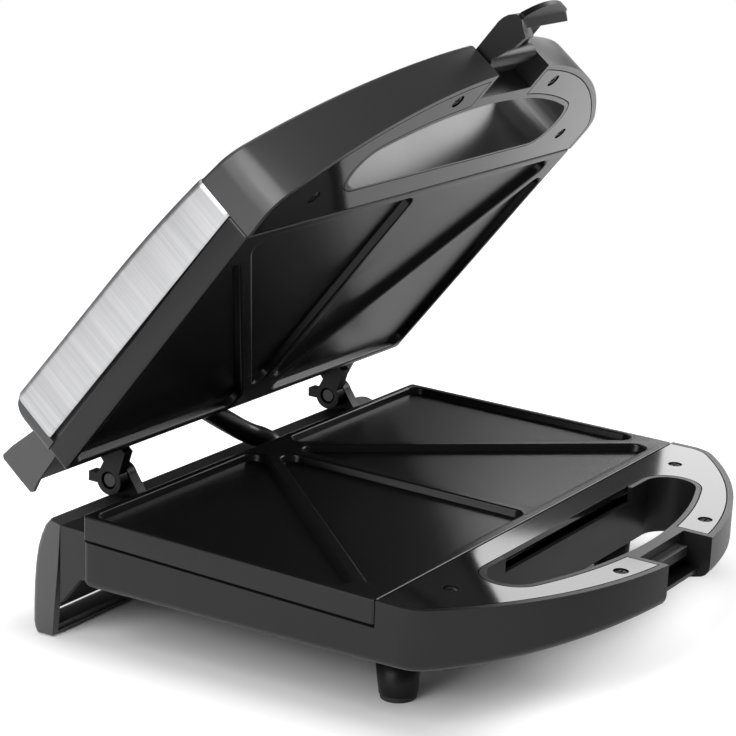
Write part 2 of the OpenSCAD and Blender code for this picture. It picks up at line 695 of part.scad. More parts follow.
module latch() color(black) stand_up() open_lid() difference() {
    union() {
        rod_x(-latch_half_w, latch_half_w, -latch_y, latch_z, barrel_r);
        along_x(-latch_half_w, cheek_t - latch_half_w, cheek_side);
        along_x(cheek_t - latch_half_w - 0.5, latch_half_w, roof_side);
        along_x(cheek_t - latch_half_w - 0.5, cheek_t + hook_w - latch_half_w, hook_side);
        intersection() {
            along_x(-lip_half_w, lip_half_w, lip_side);
            translate([0, -60, 0]) cylinder(h = 20, r = lip_r, $fn = 72);
        }
    }
    rod_x(-latch_half_w - 1, latch_half_w + 1, -latch_y, latch_z, latch_pin_r + 0.06);
}

module latch_pin() color(zinc) stand_up() open_lid()
    rod_x(-notch_w - 1.9, notch_w + 1.9, -latch_y, latch_z, latch_pin_r);

lower_housing();
lower_handle_cover();
lower_cover_screws();
lower_cooking_plate();
lower_plate_screws();
lower_heating_element();
lower_heat_shield();
thermostat();
thermal_fuse();
terminal_block();
latch_catch();
front_foot_left();
front_foot_right();
front_foot_pads();
rear_stand();
rear_stand_pads();
stand_screws();
cord_bush();
base_hinge_left();
base_hinge_right();
hinge_pin_left();
hinge_pin_right();
lead_sleeve();
lid_housing();
lid_handle_cover();
lid_cover_screws();
steel_cover();
upper_cooking_plate();
upper_plate_screws();
upper_heating_element();
upper_heat_shield();
lid_hinge_left();
lid_hinge_right();
power_lamp();
ready_lamp();
latch_pin();
latch();
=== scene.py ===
"""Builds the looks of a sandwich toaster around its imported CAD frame.

Shapes are drawn in millimetres in the body's own frame: x across, y from the plates' front edge
to the back, z up from the plane where the two plates meet. Each piece is then set in the row
frame, the lid's pieces turned open about the hinge.
"""

import math

import bmesh
import bpy
from bpy.props import FloatProperty, FloatVectorProperty, PointerProperty
from mathutils import Matrix, Vector
from mathutils.geometry import tessellate_polygon


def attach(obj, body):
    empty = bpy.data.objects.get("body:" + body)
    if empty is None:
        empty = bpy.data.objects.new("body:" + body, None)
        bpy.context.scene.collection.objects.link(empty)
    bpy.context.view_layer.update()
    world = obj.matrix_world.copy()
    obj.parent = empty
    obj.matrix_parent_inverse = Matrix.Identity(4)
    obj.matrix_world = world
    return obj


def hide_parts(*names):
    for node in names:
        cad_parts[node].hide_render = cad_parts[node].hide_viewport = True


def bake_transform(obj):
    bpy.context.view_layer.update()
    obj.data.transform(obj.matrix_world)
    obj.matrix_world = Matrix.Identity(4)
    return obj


bl_info = {
    "name": "Sandwich Toaster",
    "version": (1, 0, 0),
    "blender": (4, 5, 0),
    "location": "View3D > Sidebar > Toaster",
    "description": "Builds a hinged sandwich toaster with triangular pockets, handles and a latch",
    "category": "Object",
}

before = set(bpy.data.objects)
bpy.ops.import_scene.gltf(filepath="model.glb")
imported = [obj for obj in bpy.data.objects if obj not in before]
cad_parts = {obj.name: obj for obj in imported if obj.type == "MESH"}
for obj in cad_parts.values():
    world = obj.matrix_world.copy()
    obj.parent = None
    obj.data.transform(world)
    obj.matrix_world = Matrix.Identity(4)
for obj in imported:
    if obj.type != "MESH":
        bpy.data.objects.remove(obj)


# Settings


def length(name, description, mm):
    return FloatProperty(
        name=name, description=description, default=mm * 0.001, min=0.0, unit="LENGTH", precision=5
    )


def angle(name, description, degrees):
    return FloatProperty(name=name, description=description, default=math.radians(degrees), subtype="ANGLE")


def amount(name, description, value, top=1.0):
    return FloatProperty(name=name, description=description, default=value, min=0.0, max=top)


def colour(name, description, value):
    return FloatVectorProperty(
        name=name, description=description, default=value, min=0.0, max=1.0, size=3, subtype="COLOR"
    )


class ToasterShell(bpy.types.PropertyGroup):
    width: length("Width", "Width across the shells", 230)
    plate_depth: length("Plate depth", "Depth of the cooking plates", 131)
    reach: length("Handle reach", "Reach of the handle in front of the plates", 65)
    front_radius: length("Front radius", "Radius of the handle's front edge, seen from above", 159)
    corner_radius: length("Corner radius", "Radius between the front edge and the sides", 16)
    back_radius: length("Back radius", "Radius of the shells' back corners", 3.6)
    bottom_round: length("Bottom rounding", "Radius of the edge under the lower shell", 3.6)
    top_round: length("Top rounding", "Radius of the edge on top of the lid's handle", 1.6)
    rim: length("Rim", "Width of the handle's outer rim", 2.4)
    edge: length("Edge", "Rounding of the moulded edges", 0.4)
    slope: angle("Slope", "Forward slope of the plates", 2.8)
    rim_height: length("Rim height", "Height of the plates' meeting plane over the table", 49.4)


class ToasterHandle(bpy.types.PropertyGroup):
    hole_front: length("Hole front", "Front edge of the finger hole, ahead of the plates", 47)
    hole_back: length("Hole back", "Back edge of the finger hole, ahead of the plates", 14)
    hole_radius: length("Hole radius", "Radius of the finger hole's front edge", 178)
    tip_radius: length("Tip radius", "Radius of the finger hole's tips", 10.5)
    notch: length("Notch", "Half width of the latch notch", 18.3)
    cover: length("Cover", "Thickness of the handle cover", 2.4)
    gap: length("Gap", "Gap round the handle cover", 0.45)


class ToasterPlates(bpy.types.PropertyGroup):
    depth: length("Pocket depth", "Depth of a pocket at its middle", 9.5)
    wall: length("Pocket wall", "Depth of a pocket's steep edge", 4.9)
    corner: length("Plate corner", "Radius of the plates' back corners", 1.8)
    ridge: length("Ridge", "Width of the ridges between pockets", 5.2)
    lower_skirt: length("Lower skirt", "Height of the lower plate's skirt", 9.3)
    upper_skirt: length("Upper skirt", "Height of the upper plate's skirt", 10.1)


class ToasterLid(bpy.types.PropertyGroup):
    opening: angle("Opening", "Angle of the lid from closed", 51.4)
    height: length("Height", "Height of the lid's top at the back of the steel cover", 33.8)
    sheet: length("Sheet", "Thickness of the steel cover", 0.8)
    gap: length("Gap", "Gap between the plates when the lid is closed", 0.4)
    hinge_back: length("Hinge", "Hinge axis behind the plates' front edge", 152)
    hinge_drop: length("Hinge drop", "Hinge axis below the meeting plane", 1.1)


class ToasterLatch(bpy.types.PropertyGroup):
    reach: length("Reach", "Latch pivot ahead of the plates", 61.8)
    height: length("Height", "Latch pivot above the meeting plane", 9.6)
    barrel: length("Barrel", "Radius of the latch's barrel", 3.7)
    width: length("Half width", "Half width of the latch", 16.6)


class ToasterLooks(bpy.types.PropertyGroup):
    shell: colour("Shell", "Colour of the satin plastic shells", (0.012, 0.012, 0.0125))
    gloss: colour("Covers", "Colour of the polished handle covers", (0.012, 0.012, 0.013))
    coating: colour("Coating", "Colour of the non-stick coating", (0.007, 0.007, 0.007))
    steel: colour("Steel", "Colour of the brushed steel cover", (0.5, 0.5, 0.51))
    grain: amount("Grain", "Strength of the moulded grain on the plastic", 0.06)
    brush: amount("Brushing", "Strength of the brushed lines in the steel", 0.5)


class ToasterStudio(bpy.types.PropertyGroup):
    world: amount("Surround", "Brightness of the surround", 0.12, 10.0)
    panel: amount("Panel", "Brightness of the L-shaped panel behind and to the right", 3.5, 50.0)
    right: amount("Right", "Brightness of the soft light on the right", 6.5, 50.0)
    left_high: amount("Left, high", "Brightness of the soft light high on the left", 5.6, 50.0)
    left_low: amount("Left, low", "Brightness of the soft light low on the left", 3.0, 50.0)
    back: amount("Back", "Brightness of the soft light above and behind", 1.3, 50.0)
    glow: amount("Floor", "Extra whiteness of the floor away from the toaster", 0.5)
    lens: amount("Lens", "Focal length of the camera in millimetres", 109.73, 500.0)


GROUPS = {
    "toaster_shell": ToasterShell,
    "toaster_handle": ToasterHandle,
    "toaster_plates": ToasterPlates,
    "toaster_lid": ToasterLid,
    "toaster_latch": ToasterLatch,
    "toaster_looks": ToasterLooks,
    "toaster_studio": ToasterStudio,
}


class Sizes:
    """The settings as plain numbers: lengths in millimetres, angles in radians."""

    def __init__(self, scene):
        mm = 1000.0
        shell, handle, plates = scene.toaster_shell, scene.toaster_handle, scene.toaster_plates
        lid, latch = scene.toaster_lid, scene.toaster_latch
        self.half_w = shell.width * mm / 2
        self.plate_d = shell.plate_depth * mm
        self.front_r, self.corner_r = shell.front_radius * mm, shell.corner_radius * mm
        self.back_r = shell.back_radius * mm
        self.front_cy = self.front_r - shell.reach * mm
        self.corner_x = self.half_w - self.corner_r
        self.corner_y = self.front_cy - math.sqrt((self.front_r - self.corner_r) ** 2 - self.corner_x**2)
        self.front_a = math.atan2(self.corner_x, self.front_cy - self.corner_y)
        self.bottom_round, self.top_round = shell.bottom_round * mm, shell.top_round * mm
        self.rim, self.edge = shell.rim * mm, shell.edge * mm
        self.slope, self.rim_h = shell.slope, shell.rim_height * mm
        self.hole_front, self.hole_back = handle.hole_front * mm, handle.hole_back * mm
        self.hole_r, self.tip_r = handle.hole_radius * mm, handle.tip_radius * mm
        self.hole_cy = self.hole_r - self.hole_front
        self.tip_y = -self.hole_back - self.tip_r
        self.tip_x = math.sqrt((self.hole_r - self.tip_r) ** 2 - (self.hole_cy - self.tip_y) ** 2)
        self.tip_a = math.atan2(self.tip_x, self.hole_cy - self.tip_y)
        self.notch, self.cover, self.cover_gap = handle.notch * mm, handle.cover * mm, handle.gap * mm
        self.pocket_depth, self.pocket_wall = plates.depth * mm, plates.wall * mm
        self.ridge = plates.ridge * mm
        self.plate_corner_r = plates.corner * mm
        self.lower_skirt, self.upper_skirt = plates.lower_skirt * mm, plates.upper_skirt * mm
        self.opening, self.lid_h = lid.opening, lid.height * mm
        self.sheet, self.lid_gap = lid.sheet * mm, lid.gap * mm
        self.hinge_y, self.hinge_z = lid.hinge_back * mm, -lid.hinge_drop * mm
        self.latch_y, self.latch_z = -latch.reach * mm, latch.height * mm
        self.barrel_r, self.latch_w = latch.barrel * mm, latch.width * mm

    def base_place(self):
        """From body millimetres to row metres."""
        stand = Matrix.Translation((0, -ORIGIN_Y, self.rim_h)) @ Matrix.Rotation(self.slope, 4, "X")
        return TO_METRES @ stand

    def lid_place(self):
        """The same for the lid's pieces, drawn closed and shown open."""
        axis = Vector((0, self.hinge_y, self.hinge_z))
        turn = Matrix.Translation(axis) @ Matrix.Rotation(-self.opening, 4, "X") @ Matrix.Translation(-axis)
        return self.base_place() @ turn

    def under_z(self, y):
        """Height of the lower shell's underside, which curves up under the handle."""
        along = y - UNDER_BEND_Y
        return UNDER_BEND_Z - UNDER_SLOPE * along + (along**2 / UNDER_CURVE if along < 0 else 0)

    def lid_z(self, y):
        """Height of the lid's top, which curves down over the handle."""
        bend = (LID_BEND_Y - y) ** 2 / LID_CURVE if y < LID_BEND_Y else 0
        return self.lid_h - LID_SLOPE * (LID_TOP_BACK - y) - bend


# Fixed places and sizes in body millimetres. First the middle of the footprint, over the row frame's origin
ORIGIN_Y = 56.5
TO_METRES = Matrix.Diagonal((0.001, 0.001, 0.001, 1))
# How far cutting blocks reach past the shells
OUTSIDE = 130
LOWER_OUTSIDE = 120
AHEAD = -80
LOWER_AHEAD = -72
BELOW = -41
HOLLOW_BELOW = -40
ABOVE = 60
# The lower shell's underside and the lid's top, in side view
UNDER_BEND_Y = -15.0
UNDER_BEND_Z = -23.5
UNDER_SLOPE = 0.0367
UNDER_CURVE = 400.0
LID_TOP_BACK = 126.0
LID_SLOPE = 0.03
LID_BEND_Y = 60.0
LID_CURVE = 1310.0
# Walls, and fixed places inside the shells
WALL = 2.2
HOLE_WALL = 2.0
TUB_TOP = -10.2
DECK = -9.6
BOX_HALF = 108.0
BOX_BACK = 148.2
LID_BASE = 10.9
NOTCH_BACK = -52.0
NOTCH_FLOOR = -12.9
COVER_SCREWS = [(88.5, -14), (35, -53)]
FOOT = (82.5, 11.5)
VENT_COLUMNS = [18 * i for i in range(-4, 5) if i]
VENT_ROWS = (46, 84)
HINGES = {"left": -75.2, "right": 76.0}
# Widths of hinge arm and lug, the lug's place beside the arm, and the radii of knuckle and pin
ARM_W = 5
LUG_AT = 5.6
LUG_W = 5
KNUCKLE_R = 6
PIN_R = 2
# Pitch of the stand's bays, and half the thickness of the ribs between them
BAY = 53
RIB = 1.4
# The lamps behind the lid's handle
LAMPS = {"power": -11, "ready": 11}
LAMP_Y = -6


# Outlines


def arc(cx, cy, r, a0, a1, n, first=0):
    steps = [math.radians(a0 + (a1 - a0) * i / n) for i in range(first, n + 1)]
    return [(cx + r * math.cos(a), cy + r * math.sin(a)) for a in steps]


def shell_half(s, inset, back):
    """The right half of a shell's outline, from its front middle to its back, drawn in by inset."""
    front = math.degrees(s.front_a)
    side_x = s.half_w - inset
    back_c = (s.half_w - s.back_r, back - s.back_r)
    rows = [s.corner_y + (back_c[1] - s.corner_y) * i / 24 for i in range(1, 24)]
    return (
        arc(0, s.front_cy, s.front_r - inset, -90, -90 + front, 44)
        + arc(s.corner_x, s.corner_y, s.corner_r - inset, -90 + front, 0, 14, 1)
        + [(side_x, y) for y in rows]
        + arc(*back_c, s.back_r - inset, 0, 90, 8)
    )


def mirrored(half):
    return half + [(-x, y) for x, y in reversed(half) if x > 1e-6]


def shell_outline(s, inset, back):
    return mirrored(shell_half(s, inset, back))


def hole_outline(s, grow):
    tip = math.degrees(s.tip_a)
    return (
        arc(0, s.hole_cy, s.hole_r + grow, -90 - tip, -90 + tip, 64)
        + arc(s.tip_x, s.tip_y, s.tip_r + grow, -90 + tip, 90, 22, 1)
        + arc(-s.tip_x, s.tip_y, s.tip_r + grow, 90, 270 - tip, 22)[:-1]
    )


# Meshes


def new_object(name, verts, faces):
    mesh = bpy.data.meshes.new(name)
    mesh.from_pydata([tuple(v) for v in verts], [], [tuple(f) for f in faces])
    build = bmesh.new()
    build.from_mesh(mesh)
    bmesh.ops.remove_doubles(build, verts=build.verts, dist=1e-4)
    bmesh.ops.recalc_face_normals(build, faces=build.faces)
    build.to_mesh(mesh)
    build.free()
    made = bpy.data.objects.new(name, mesh)
    bpy.context.scene.collection.objects.link(made)
    return made


def prism_z(name, outline, low, high):
    n = len(outline)
    verts = [(x, y, low) for x, y in outline] + [(x, y, high) for x, y in outline]
    sides = [(i, (i + 1) % n, n + (i + 1) % n, n + i) for i in range(n)]
    return new_object(name, verts, sides + [tuple(range(n))[::-1], tuple(range(n, 2 * n))])


def prism_x(name, side, x0, x1):
    """A side view of (y, z) points drawn out along x."""
    n = len(side)
    verts = [(x0, y, z) for y, z in side] + [(x1, y, z) for y, z in side]
    sides = [(i, (i + 1) % n, n + (i + 1) % n, n + i) for i in range(n)]
    return new_object(name, verts, sides + [tuple(range(n))[::-1], tuple(range(n, 2 * n))])


def block(name, low, high):
    outline = [(low[0], low[1]), (high[0], low[1]), (high[0], high[1]), (low[0], high[1])]
    return prism_z(name, outline, low[2], high[2])


def turned(name, profile, steps=48, along="Z", at=(0, 0, 0)):
    """A solid turned from (radius, height) points. A radius of 0 closes an end."""
    verts, faces = [], []
    angles = [math.tau * k / steps for k in range(steps)]
    for r, h in profile:
        verts += [(r * math.cos(a), r * math.sin(a), h) for a in angles]
    for i in range(len(profile) - 1):
        for k in range(steps):
            a, b = i * steps + k, i * steps + (k + 1) % steps
            faces.append((a, b, b + steps, a + steps))
    if profile[0][0] > 0:
        faces.append(tuple(range(steps))[::-1])
    if profile[-1][0] > 0:
        faces.append(tuple(range((len(profile) - 1) * steps, len(profile) * steps)))
    if along == "X":
        verts = [(z, x, y) for x, y, z in verts]
    verts = [(x + at[0], y + at[1], z + at[2]) for x, y, z in verts]
    made = new_object(name, verts, faces)
    clean = bmesh.new()
    clean.from_mesh(made.data)
    bmesh.ops.dissolve_degenerate(clean, edges=clean.edges, dist=1e-5)
    clean.to_mesh(made.data)
    clean.free()
    return made


def rod(name, r, h0, h1, along="Z", at=(0, 0, 0), soften=0.0, steps=48):
    """A round bar, its ends rounded by soften."""
    turn = [math.radians(a) for a in (0, 30, 60, 90)] if soften else []
    core = r - soften
    low = [(core + soften * math.sin(a), h0 + soften - soften * math.cos(a)) for a in turn] or [(r, h0)]
    high = [(core + soften * math.cos(a), h1 - soften + soften * math.sin(a)) for a in turn] or [(r, h1)]
    return turned(name, low + high, steps, along, at)


def bake(obj):
    """Makes the object's modifiers part of its mesh."""
    graph = bpy.context.evaluated_depsgraph_get()
    mesh = bpy.data.meshes.new_from_object(obj.evaluated_get(graph))
    old, obj.data = obj.data, mesh
    obj.modifiers.clear()
    bpy.data.meshes.remove(old)
    return obj


def boolean(target, tool, operation):
    step = target.modifiers.new(operation, "BOOLEAN")
    step.operation, step.solver, step.object = operation, "EXACT", tool
    bake(target)
    bpy.data.objects.remove(tool, do_unlink=True)
    return target


def cut(target, *tools):
    for tool in tools:
        boolean(target, tool, "DIFFERENCE")
    return target


def fuse(target, *tools):
    for tool in tools:
        boolean(target, tool, "UNION")
    return target


def common(target, tool):
    return boolean(target, tool, "INTERSECT")


def join(target, *others):
    """Puts separate solids in one mesh."""
    build = bmesh.new()
    for part in (target, *others):
        build.from_mesh(part.data)
    build.to_mesh(target.data)
    build.free()
    for part in others:
        bpy.data.objects.remove(part, do_unlink=True)
    return target


def shell_solid(name, s, sections, back):
    """A closed shell through sections of (inset, height as a function of y), from the lowest up."""
    verts, faces, rings = [], [], []
    for inset, height in sections:
        half = shell_half(s, inset, back)
        start = len(verts)
        verts += [(x, y, height(y)) for x, y in half] + [(-x, y, height(y)) for x, y in half]
        rings.append((start, len(half)))
    for (a, n), (b, _) in zip(rings, rings[1:]):
        for side in (0, n):
            for i in range(n - 1):
                face = (a + side + i, a + side + i + 1, b + side + i + 1, b + side + i)
                faces.append(face if side == 0 else face[::-1])
        faces.append((a + n - 1, a + 2 * n - 1, b + 2 * n - 1, b + n - 1))
    for start, n in (rings[0], rings[-1]):
        for i in range(n - 1):
            faces.append((start + i, start + i + 1, start + n + i + 1, start + n + i))
    return new_object(name, verts, faces)


def rounding(r, steps=5, low=True):
    """(inset, rise) pairs round a quarter edge, from the face to the wall."""
    pairs = []
    for i in range(steps + 1):
        a = math.pi / 2 * i / steps
        pairs.append((r * (1 - math.sin(a)), r * (1 - math.cos(a))))
    return pairs if low else [(inset, -rise) for inset, rise in reversed(pairs)]


def settle(obj, place, body, looks, nodes=(), bevel=0.0, segments=3, limit=35.0):
    """Sets a finished piece in the row frame, on its body, with its material."""
    obj.data.transform(place)
    if place.to_3x3().determinant() < 0:
        obj.data.flip_normals()
    for face in obj.data.polygons:
        face.use_smooth = True
    if bevel:
        soft = obj.modifiers.new("Soft edges", "BEVEL")
        soft.width, soft.segments = bevel * 0.001, segments
        soft.limit_method, soft.angle_limit = "ANGLE", math.radians(limit)
        soft.use_clamp_overlap = True
        soft.harden_normals = True
        soft.miter_outer = "MITER_ARC"
    else:
        even = obj.modifiers.new("Even shading", "WEIGHTED_NORMAL")
        even.keep_sharp = True
        even.weight = 50
    obj.data.materials.clear()
    obj.data.materials.append(looks)
    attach(obj, body)
    if nodes:
        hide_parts(*nodes)
    return obj


# Materials


def shader_group(name, inputs, outputs):
    group = bpy.data.node_groups.new(name, "ShaderNodeTree")
    for label, kind, value in inputs:
        made = group.interface.new_socket(name=label, in_out="INPUT", socket_type=kind)
        if value is not None:
            made.default_value = value
    for label, kind in outputs:
        group.interface.new_socket(name=label, in_out="OUTPUT", socket_type=kind)
    return group, group.nodes.new("NodeGroupInput"), group.nodes.new("NodeGroupOutput")


def add_node(tree, kind, operation=None, values=None):
    """A shader node with its operation and the values of its unlinked inputs."""
    made = tree.nodes.new("ShaderNode" + kind)
    if operation:
        made.operation = operation
    for label, value in (values or {}).items():
        made.inputs[label].default_value = value
    return made


def combine(tree, operation, first, second):
    """Two outputs joined by a math node, as one output."""
    made = add_node(tree, "Math", operation)
    tree.links.new(first, made.inputs[0])
    tree.links.new(second, made.inputs[1])
    return made.outputs["Value"]


def smooth_step(tree, start, end, value, top=1.0):
    """An output that rises smoothly from 0 to top as value goes from start to end."""
    made = add_node(tree, "MapRange", values={"From Min": start, "From Max": end, "To Max": top})
    made.interpolation_type = "SMOOTHSTEP"
    tree.links.new(value, made.inputs["Value"])
    return made.outputs["Result"]


def grain_group():
    """Fine moulded grain: a normal, and a mask that varies the roughness a little."""
    if "Moulded grain" in bpy.data.node_groups:
        return bpy.data.node_groups["Moulded grain"]
    group, given, out = shader_group(
        "Moulded grain",
        [("Scale", "NodeSocketFloat", 900.0), ("Strength", "NodeSocketFloat", 0.06)],
        [("Normal", "NodeSocketVector"), ("Mask", "NodeSocketFloat")],
    )
    link = group.links.new
    place = add_node(group, "TexCoord")
    fine = add_node(group, "TexNoise", values={"Detail": 2.0})
    broad = add_node(group, "TexNoise", values={"Scale": 22.0})
    bump = add_node(group, "Bump", values={"Distance": 0.0002})
    link(place.outputs["Object"], fine.inputs["Vector"])
    link(place.outputs["Object"], broad.inputs["Vector"])
    link(given.outputs["Scale"], fine.inputs["Scale"])
    link(given.outputs["Strength"], bump.inputs["Strength"])
    link(fine.outputs["Fac"], bump.inputs["Height"])
    link(bump.outputs["Normal"], out.inputs["Normal"])
    link(broad.outputs["Fac"], out.inputs["Mask"])
    return group


def brushed_group():
    """Long fine lines that run across the lid: a colour factor and a normal."""
    if "Brushed lines" in bpy.data.node_groups:
        return bpy.data.node_groups["Brushed lines"]
    group, given, out = shader_group(
        "Brushed lines",
        [("Along", "NodeSocketVector", None), ("Strength", "NodeSocketFloat", 0.5)],
        [("Lines", "NodeSocketFloat"), ("Normal", "NodeSocketVector")],
    )
    link = group.links.new
    fine = add_node(group, "TexNoise", values={"Scale": 1.0, "Detail": 6.0, "Roughness": 0.7})
    bump = add_node(group, "Bump", values={"Distance": 0.00006})
    link(given.outputs["Along"], fine.inputs["Vector"])
    link(given.outputs["Strength"], bump.inputs["Strength"])
    link(fine.outputs["Fac"], bump.inputs["Height"])
    link(fine.outputs["Fac"], out.inputs["Lines"])
    link(bump.outputs["Normal"], out.inputs["Normal"])
    return group


def new_material(name):
    made = bpy.data.materials.new(name)
    made.use_nodes = True
    return made, made.node_tree, made.node_tree.nodes["Principled BSDF"]


def plastic(name, base, rough, grain=0.0, scale=900.0, coat=0.0, ior=1.5, spread=0.06):
    """Moulded plastic, rubber or lacquer: its roughness wanders a little over the surface."""
    if name in bpy.data.materials:
        return bpy.data.materials[name]
    made, tree, surface = new_material(name)
    surface.inputs["Base Color"].default_value = (*base, 1)
    surface.inputs["IOR"].default_value = ior
    surface.inputs["Coat Weight"].default_value = coat
    surface.inputs["Coat Roughness"].default_value = 0.03
    skin = add_node(tree, "Group")
    skin.node_tree = grain_group()
    skin.inputs["Scale"].default_value = scale
    skin.inputs["Strength"].default_value = grain
    vary = add_node(tree, "MapRange", values={"To Min": max(rough - spread, 0.02), "To Max": rough + spread})
    tree.links.new(skin.outputs["Mask"], vary.inputs["Value"])
    tree.links.new(vary.outputs["Result"], surface.inputs["Roughness"])
    if grain:
        tree.links.new(skin.outputs["Normal"], surface.inputs["Normal"])
    return made


def metal(name, base, rough, metallic=1.0):
    if name in bpy.data.materials:
        return bpy.data.materials[name]
    made = plastic(name, base, rough, grain=0.03, scale=1500.0, spread=0.08)
    made.node_tree.nodes["Principled BSDF"].inputs["Metallic"].default_value = metallic
    return made


def brushed_steel(name, base, strength):
    """Steel brushed across the lid, its lines drawn in the cover's own flattened sheet."""
    if name in bpy.data.materials:
        return bpy.data.materials[name]
    made, tree, surface = new_material(name)
    sheet = add_node(tree, "UVMap")
    sheet.uv_map = "Sheet"
    stretch = add_node(tree, "Mapping", values={"Scale": (6.0, 380.0, 1.0)})
    lines = add_node(tree, "Group")
    lines.node_tree = brushed_group()
    lines.inputs["Strength"].default_value = strength
    tone = add_node(tree, "Mix")
    tone.data_type = "RGBA"
    tone.inputs["A"].default_value = (*[c * 0.55 for c in base], 1)
    tone.inputs["B"].default_value = (*[min(c * 1.3, 1) for c in base], 1)
    shine = add_node(tree, "MapRange", values={"To Min": 0.28, "To Max": 0.48})
    link = tree.links.new
    link(sheet.outputs["UV"], stretch.inputs["Vector"])
    link(stretch.outputs["Vector"], lines.inputs["Along"])
    link(lines.outputs["Lines"], tone.inputs["Factor"])
    link(lines.outputs["Lines"], shine.inputs["Value"])
    link(tone.outputs["Result"], surface.inputs["Base Color"])
    link(shine.outputs["Result"], surface.inputs["Roughness"])
    link(lines.outputs["Normal"], surface.inputs["Normal"])
    surface.inputs["Metallic"].default_value = 1.0
    return made


def lens_plastic(name, base):
    made = plastic(name, base, 0.12, coat=1.0)
    made.node_tree.nodes["Principled BSDF"].inputs["Transmission Weight"].default_value = 0.35
    return made


# How many times paler than the base's shell the lid and the stand are. The lid's paleness is painted light:
# the lid is the base's black plastic, made paler to stand in for the light it catches.
LID_LIT_PALER = 3.5
STAND_PALER = 4.4


def looks(scene, kind):
    """The material of the given kind, made once."""
    own = scene.toaster_looks
    lid_lit_grey = [c * LID_LIT_PALER for c in own.shell]
    stand_grey = [c * STAND_PALER for c in own.shell]
    makers = {
        "shell": lambda: plastic("Satin shell", own.shell, 0.3, own.grain, 900.0, ior=1.32, spread=0.04),
        # The lid's shell: the base's plastic with painted light, a lit copy of its colour
        "lid_shell": lambda: plastic("Lid shell", lid_lit_grey, 0.3, own.grain, spread=0.04),
        "stand": lambda: plastic("Stand plastic", stand_grey, 0.36, own.grain),
        "gloss": lambda: plastic("Polished cover", own.gloss, 0.06, 0.0, spread=0.01),
        "coating": lambda: plastic(
            "Non-stick coating", own.coating, 0.26, 0.05, 2600.0, ior=1.37, spread=0.03
        ),
        "dark": lambda: plastic("Satin black", (0.006, 0.006, 0.0065), 0.36, own.grain, 900.0, ior=1.28),
        "deck": lambda: plastic("Deck plastic", (0.008, 0.008, 0.009), 0.6, own.grain, 900.0),
        "rubber": lambda: plastic("Rubber", (0.014, 0.014, 0.014), 0.7, 0.2, 600.0),
        "sleeve": lambda: plastic("Sleeve", (0.008, 0.008, 0.009), 0.35, 0.05, 600.0),
        "white": lambda: plastic("Ceramic white", (0.72, 0.7, 0.66), 0.5, 0.05, 800.0),
        "steel": lambda: brushed_steel("Brushed cover", own.steel, own.brush),
        "screw": lambda: metal("Zinc screw", (0.32, 0.32, 0.33), 0.35),
        "black_steel": lambda: metal("Blackened steel", (0.05, 0.05, 0.052), 0.4),
        "element": lambda: metal("Element tube", (0.3, 0.28, 0.26), 0.42),
        "shield": lambda: metal("Shield sheet", (0.6, 0.6, 0.6), 0.3),
        "brass": lambda: metal("Brass", (0.62, 0.48, 0.24), 0.3),
        "red": lambda: lens_plastic("Red lens", (0.55, 0.02, 0.015)),
        "green": lambda: lens_plastic("Green lens", (0.03, 0.42, 0.08)),
    }
    return makers[kind]()


# Base pieces


class Piece(bpy.types.Operator):
    """Shared settings of every building step"""

    bl_options = {"REGISTER", "UNDO"}


class TOASTER_OT_lower_housing(Piece):
    """Builds the lower shell with its handle, finger hole, latch notch and rear box"""

    bl_idname = "toaster.lower_housing"
    bl_label = "Lower housing"

    def execute(self, context):
        s = Sizes(context.scene)
        back = s.plate_d + 1
        rise = rounding(s.bottom_round)
        sections = [(inset, lambda y, r=r: s.under_z(y) + r) for inset, r in rise] + [(0, lambda y: 0.0)]
        tub = shell_solid("lower_housing_shell", s, sections, back)
        cut(tub, block("step", (-LOWER_OUTSIDE, 0, TUB_TOP), (LOWER_OUTSIDE, 140, 2)))
        hollow = [(s.rim, lambda y: s.under_z(y) + WALL), (s.rim, lambda y: 1.0)]
        inside = shell_solid("inside", s, hollow, back)
        cut(
            inside,
            prism_z("round_hole", hole_outline(s, HOLE_WALL), HOLLOW_BELOW, 3),
            block(
                "round_notch",
                (-s.notch - WALL, LOWER_AHEAD, HOLLOW_BELOW),
                (s.notch + WALL, -s.hole_front + 2, 3),
            ),
        )
        cut(tub, inside)
        cut(
            tub,
            prism_z("hole", hole_outline(s, 0), BELOW, 2),
            block("low_wall", (-50, -s.hole_back - 0.6, -6), (50, 0.6 - s.hole_back + HOLE_WALL, 2)),
            block("notch", (-s.notch, LOWER_AHEAD, NOTCH_FLOOR), (s.notch, NOTCH_BACK, 2)),
            block("notch_front", (-s.notch, LOWER_AHEAD, BELOW), (s.notch, -59.6, 2)),
            block(
                "notch_under",
                (-s.notch, LOWER_AHEAD, BELOW),
                (s.notch, NOTCH_BACK - 1, NOTCH_FLOOR - 1.5),
            ),
        )
        for x in VENT_COLUMNS:
            for y in VENT_ROWS:
                cut(tub, block("vent", (x - 1.5, y, HOLLOW_BELOW), (x + 1.5, y + 24, -20)))
        settle(tub, s.base_place(), "base", looks(context.scene, "shell"), ["lower_housing"], s.edge)
        side = [(131, DECK), (BOX_BACK, DECK), (BOX_BACK, -41.5), (138.4, -29.5), (131, -28.5)]
        box = prism_x("lower_housing_rear_box", side, -BOX_HALF, BOX_HALF)
        cut(
            box,
            block("under", (-BOX_HALF + 3, 128, -45), (BOX_HALF - 3, 150, -28.4)),
            rod("lead_hole", 5.2, -22, 0, at=(20, 141, 0)),
        )
        settle(box, s.base_place(), "base", looks(context.scene, "deck"), (), s.edge)
        return {"FINISHED"}


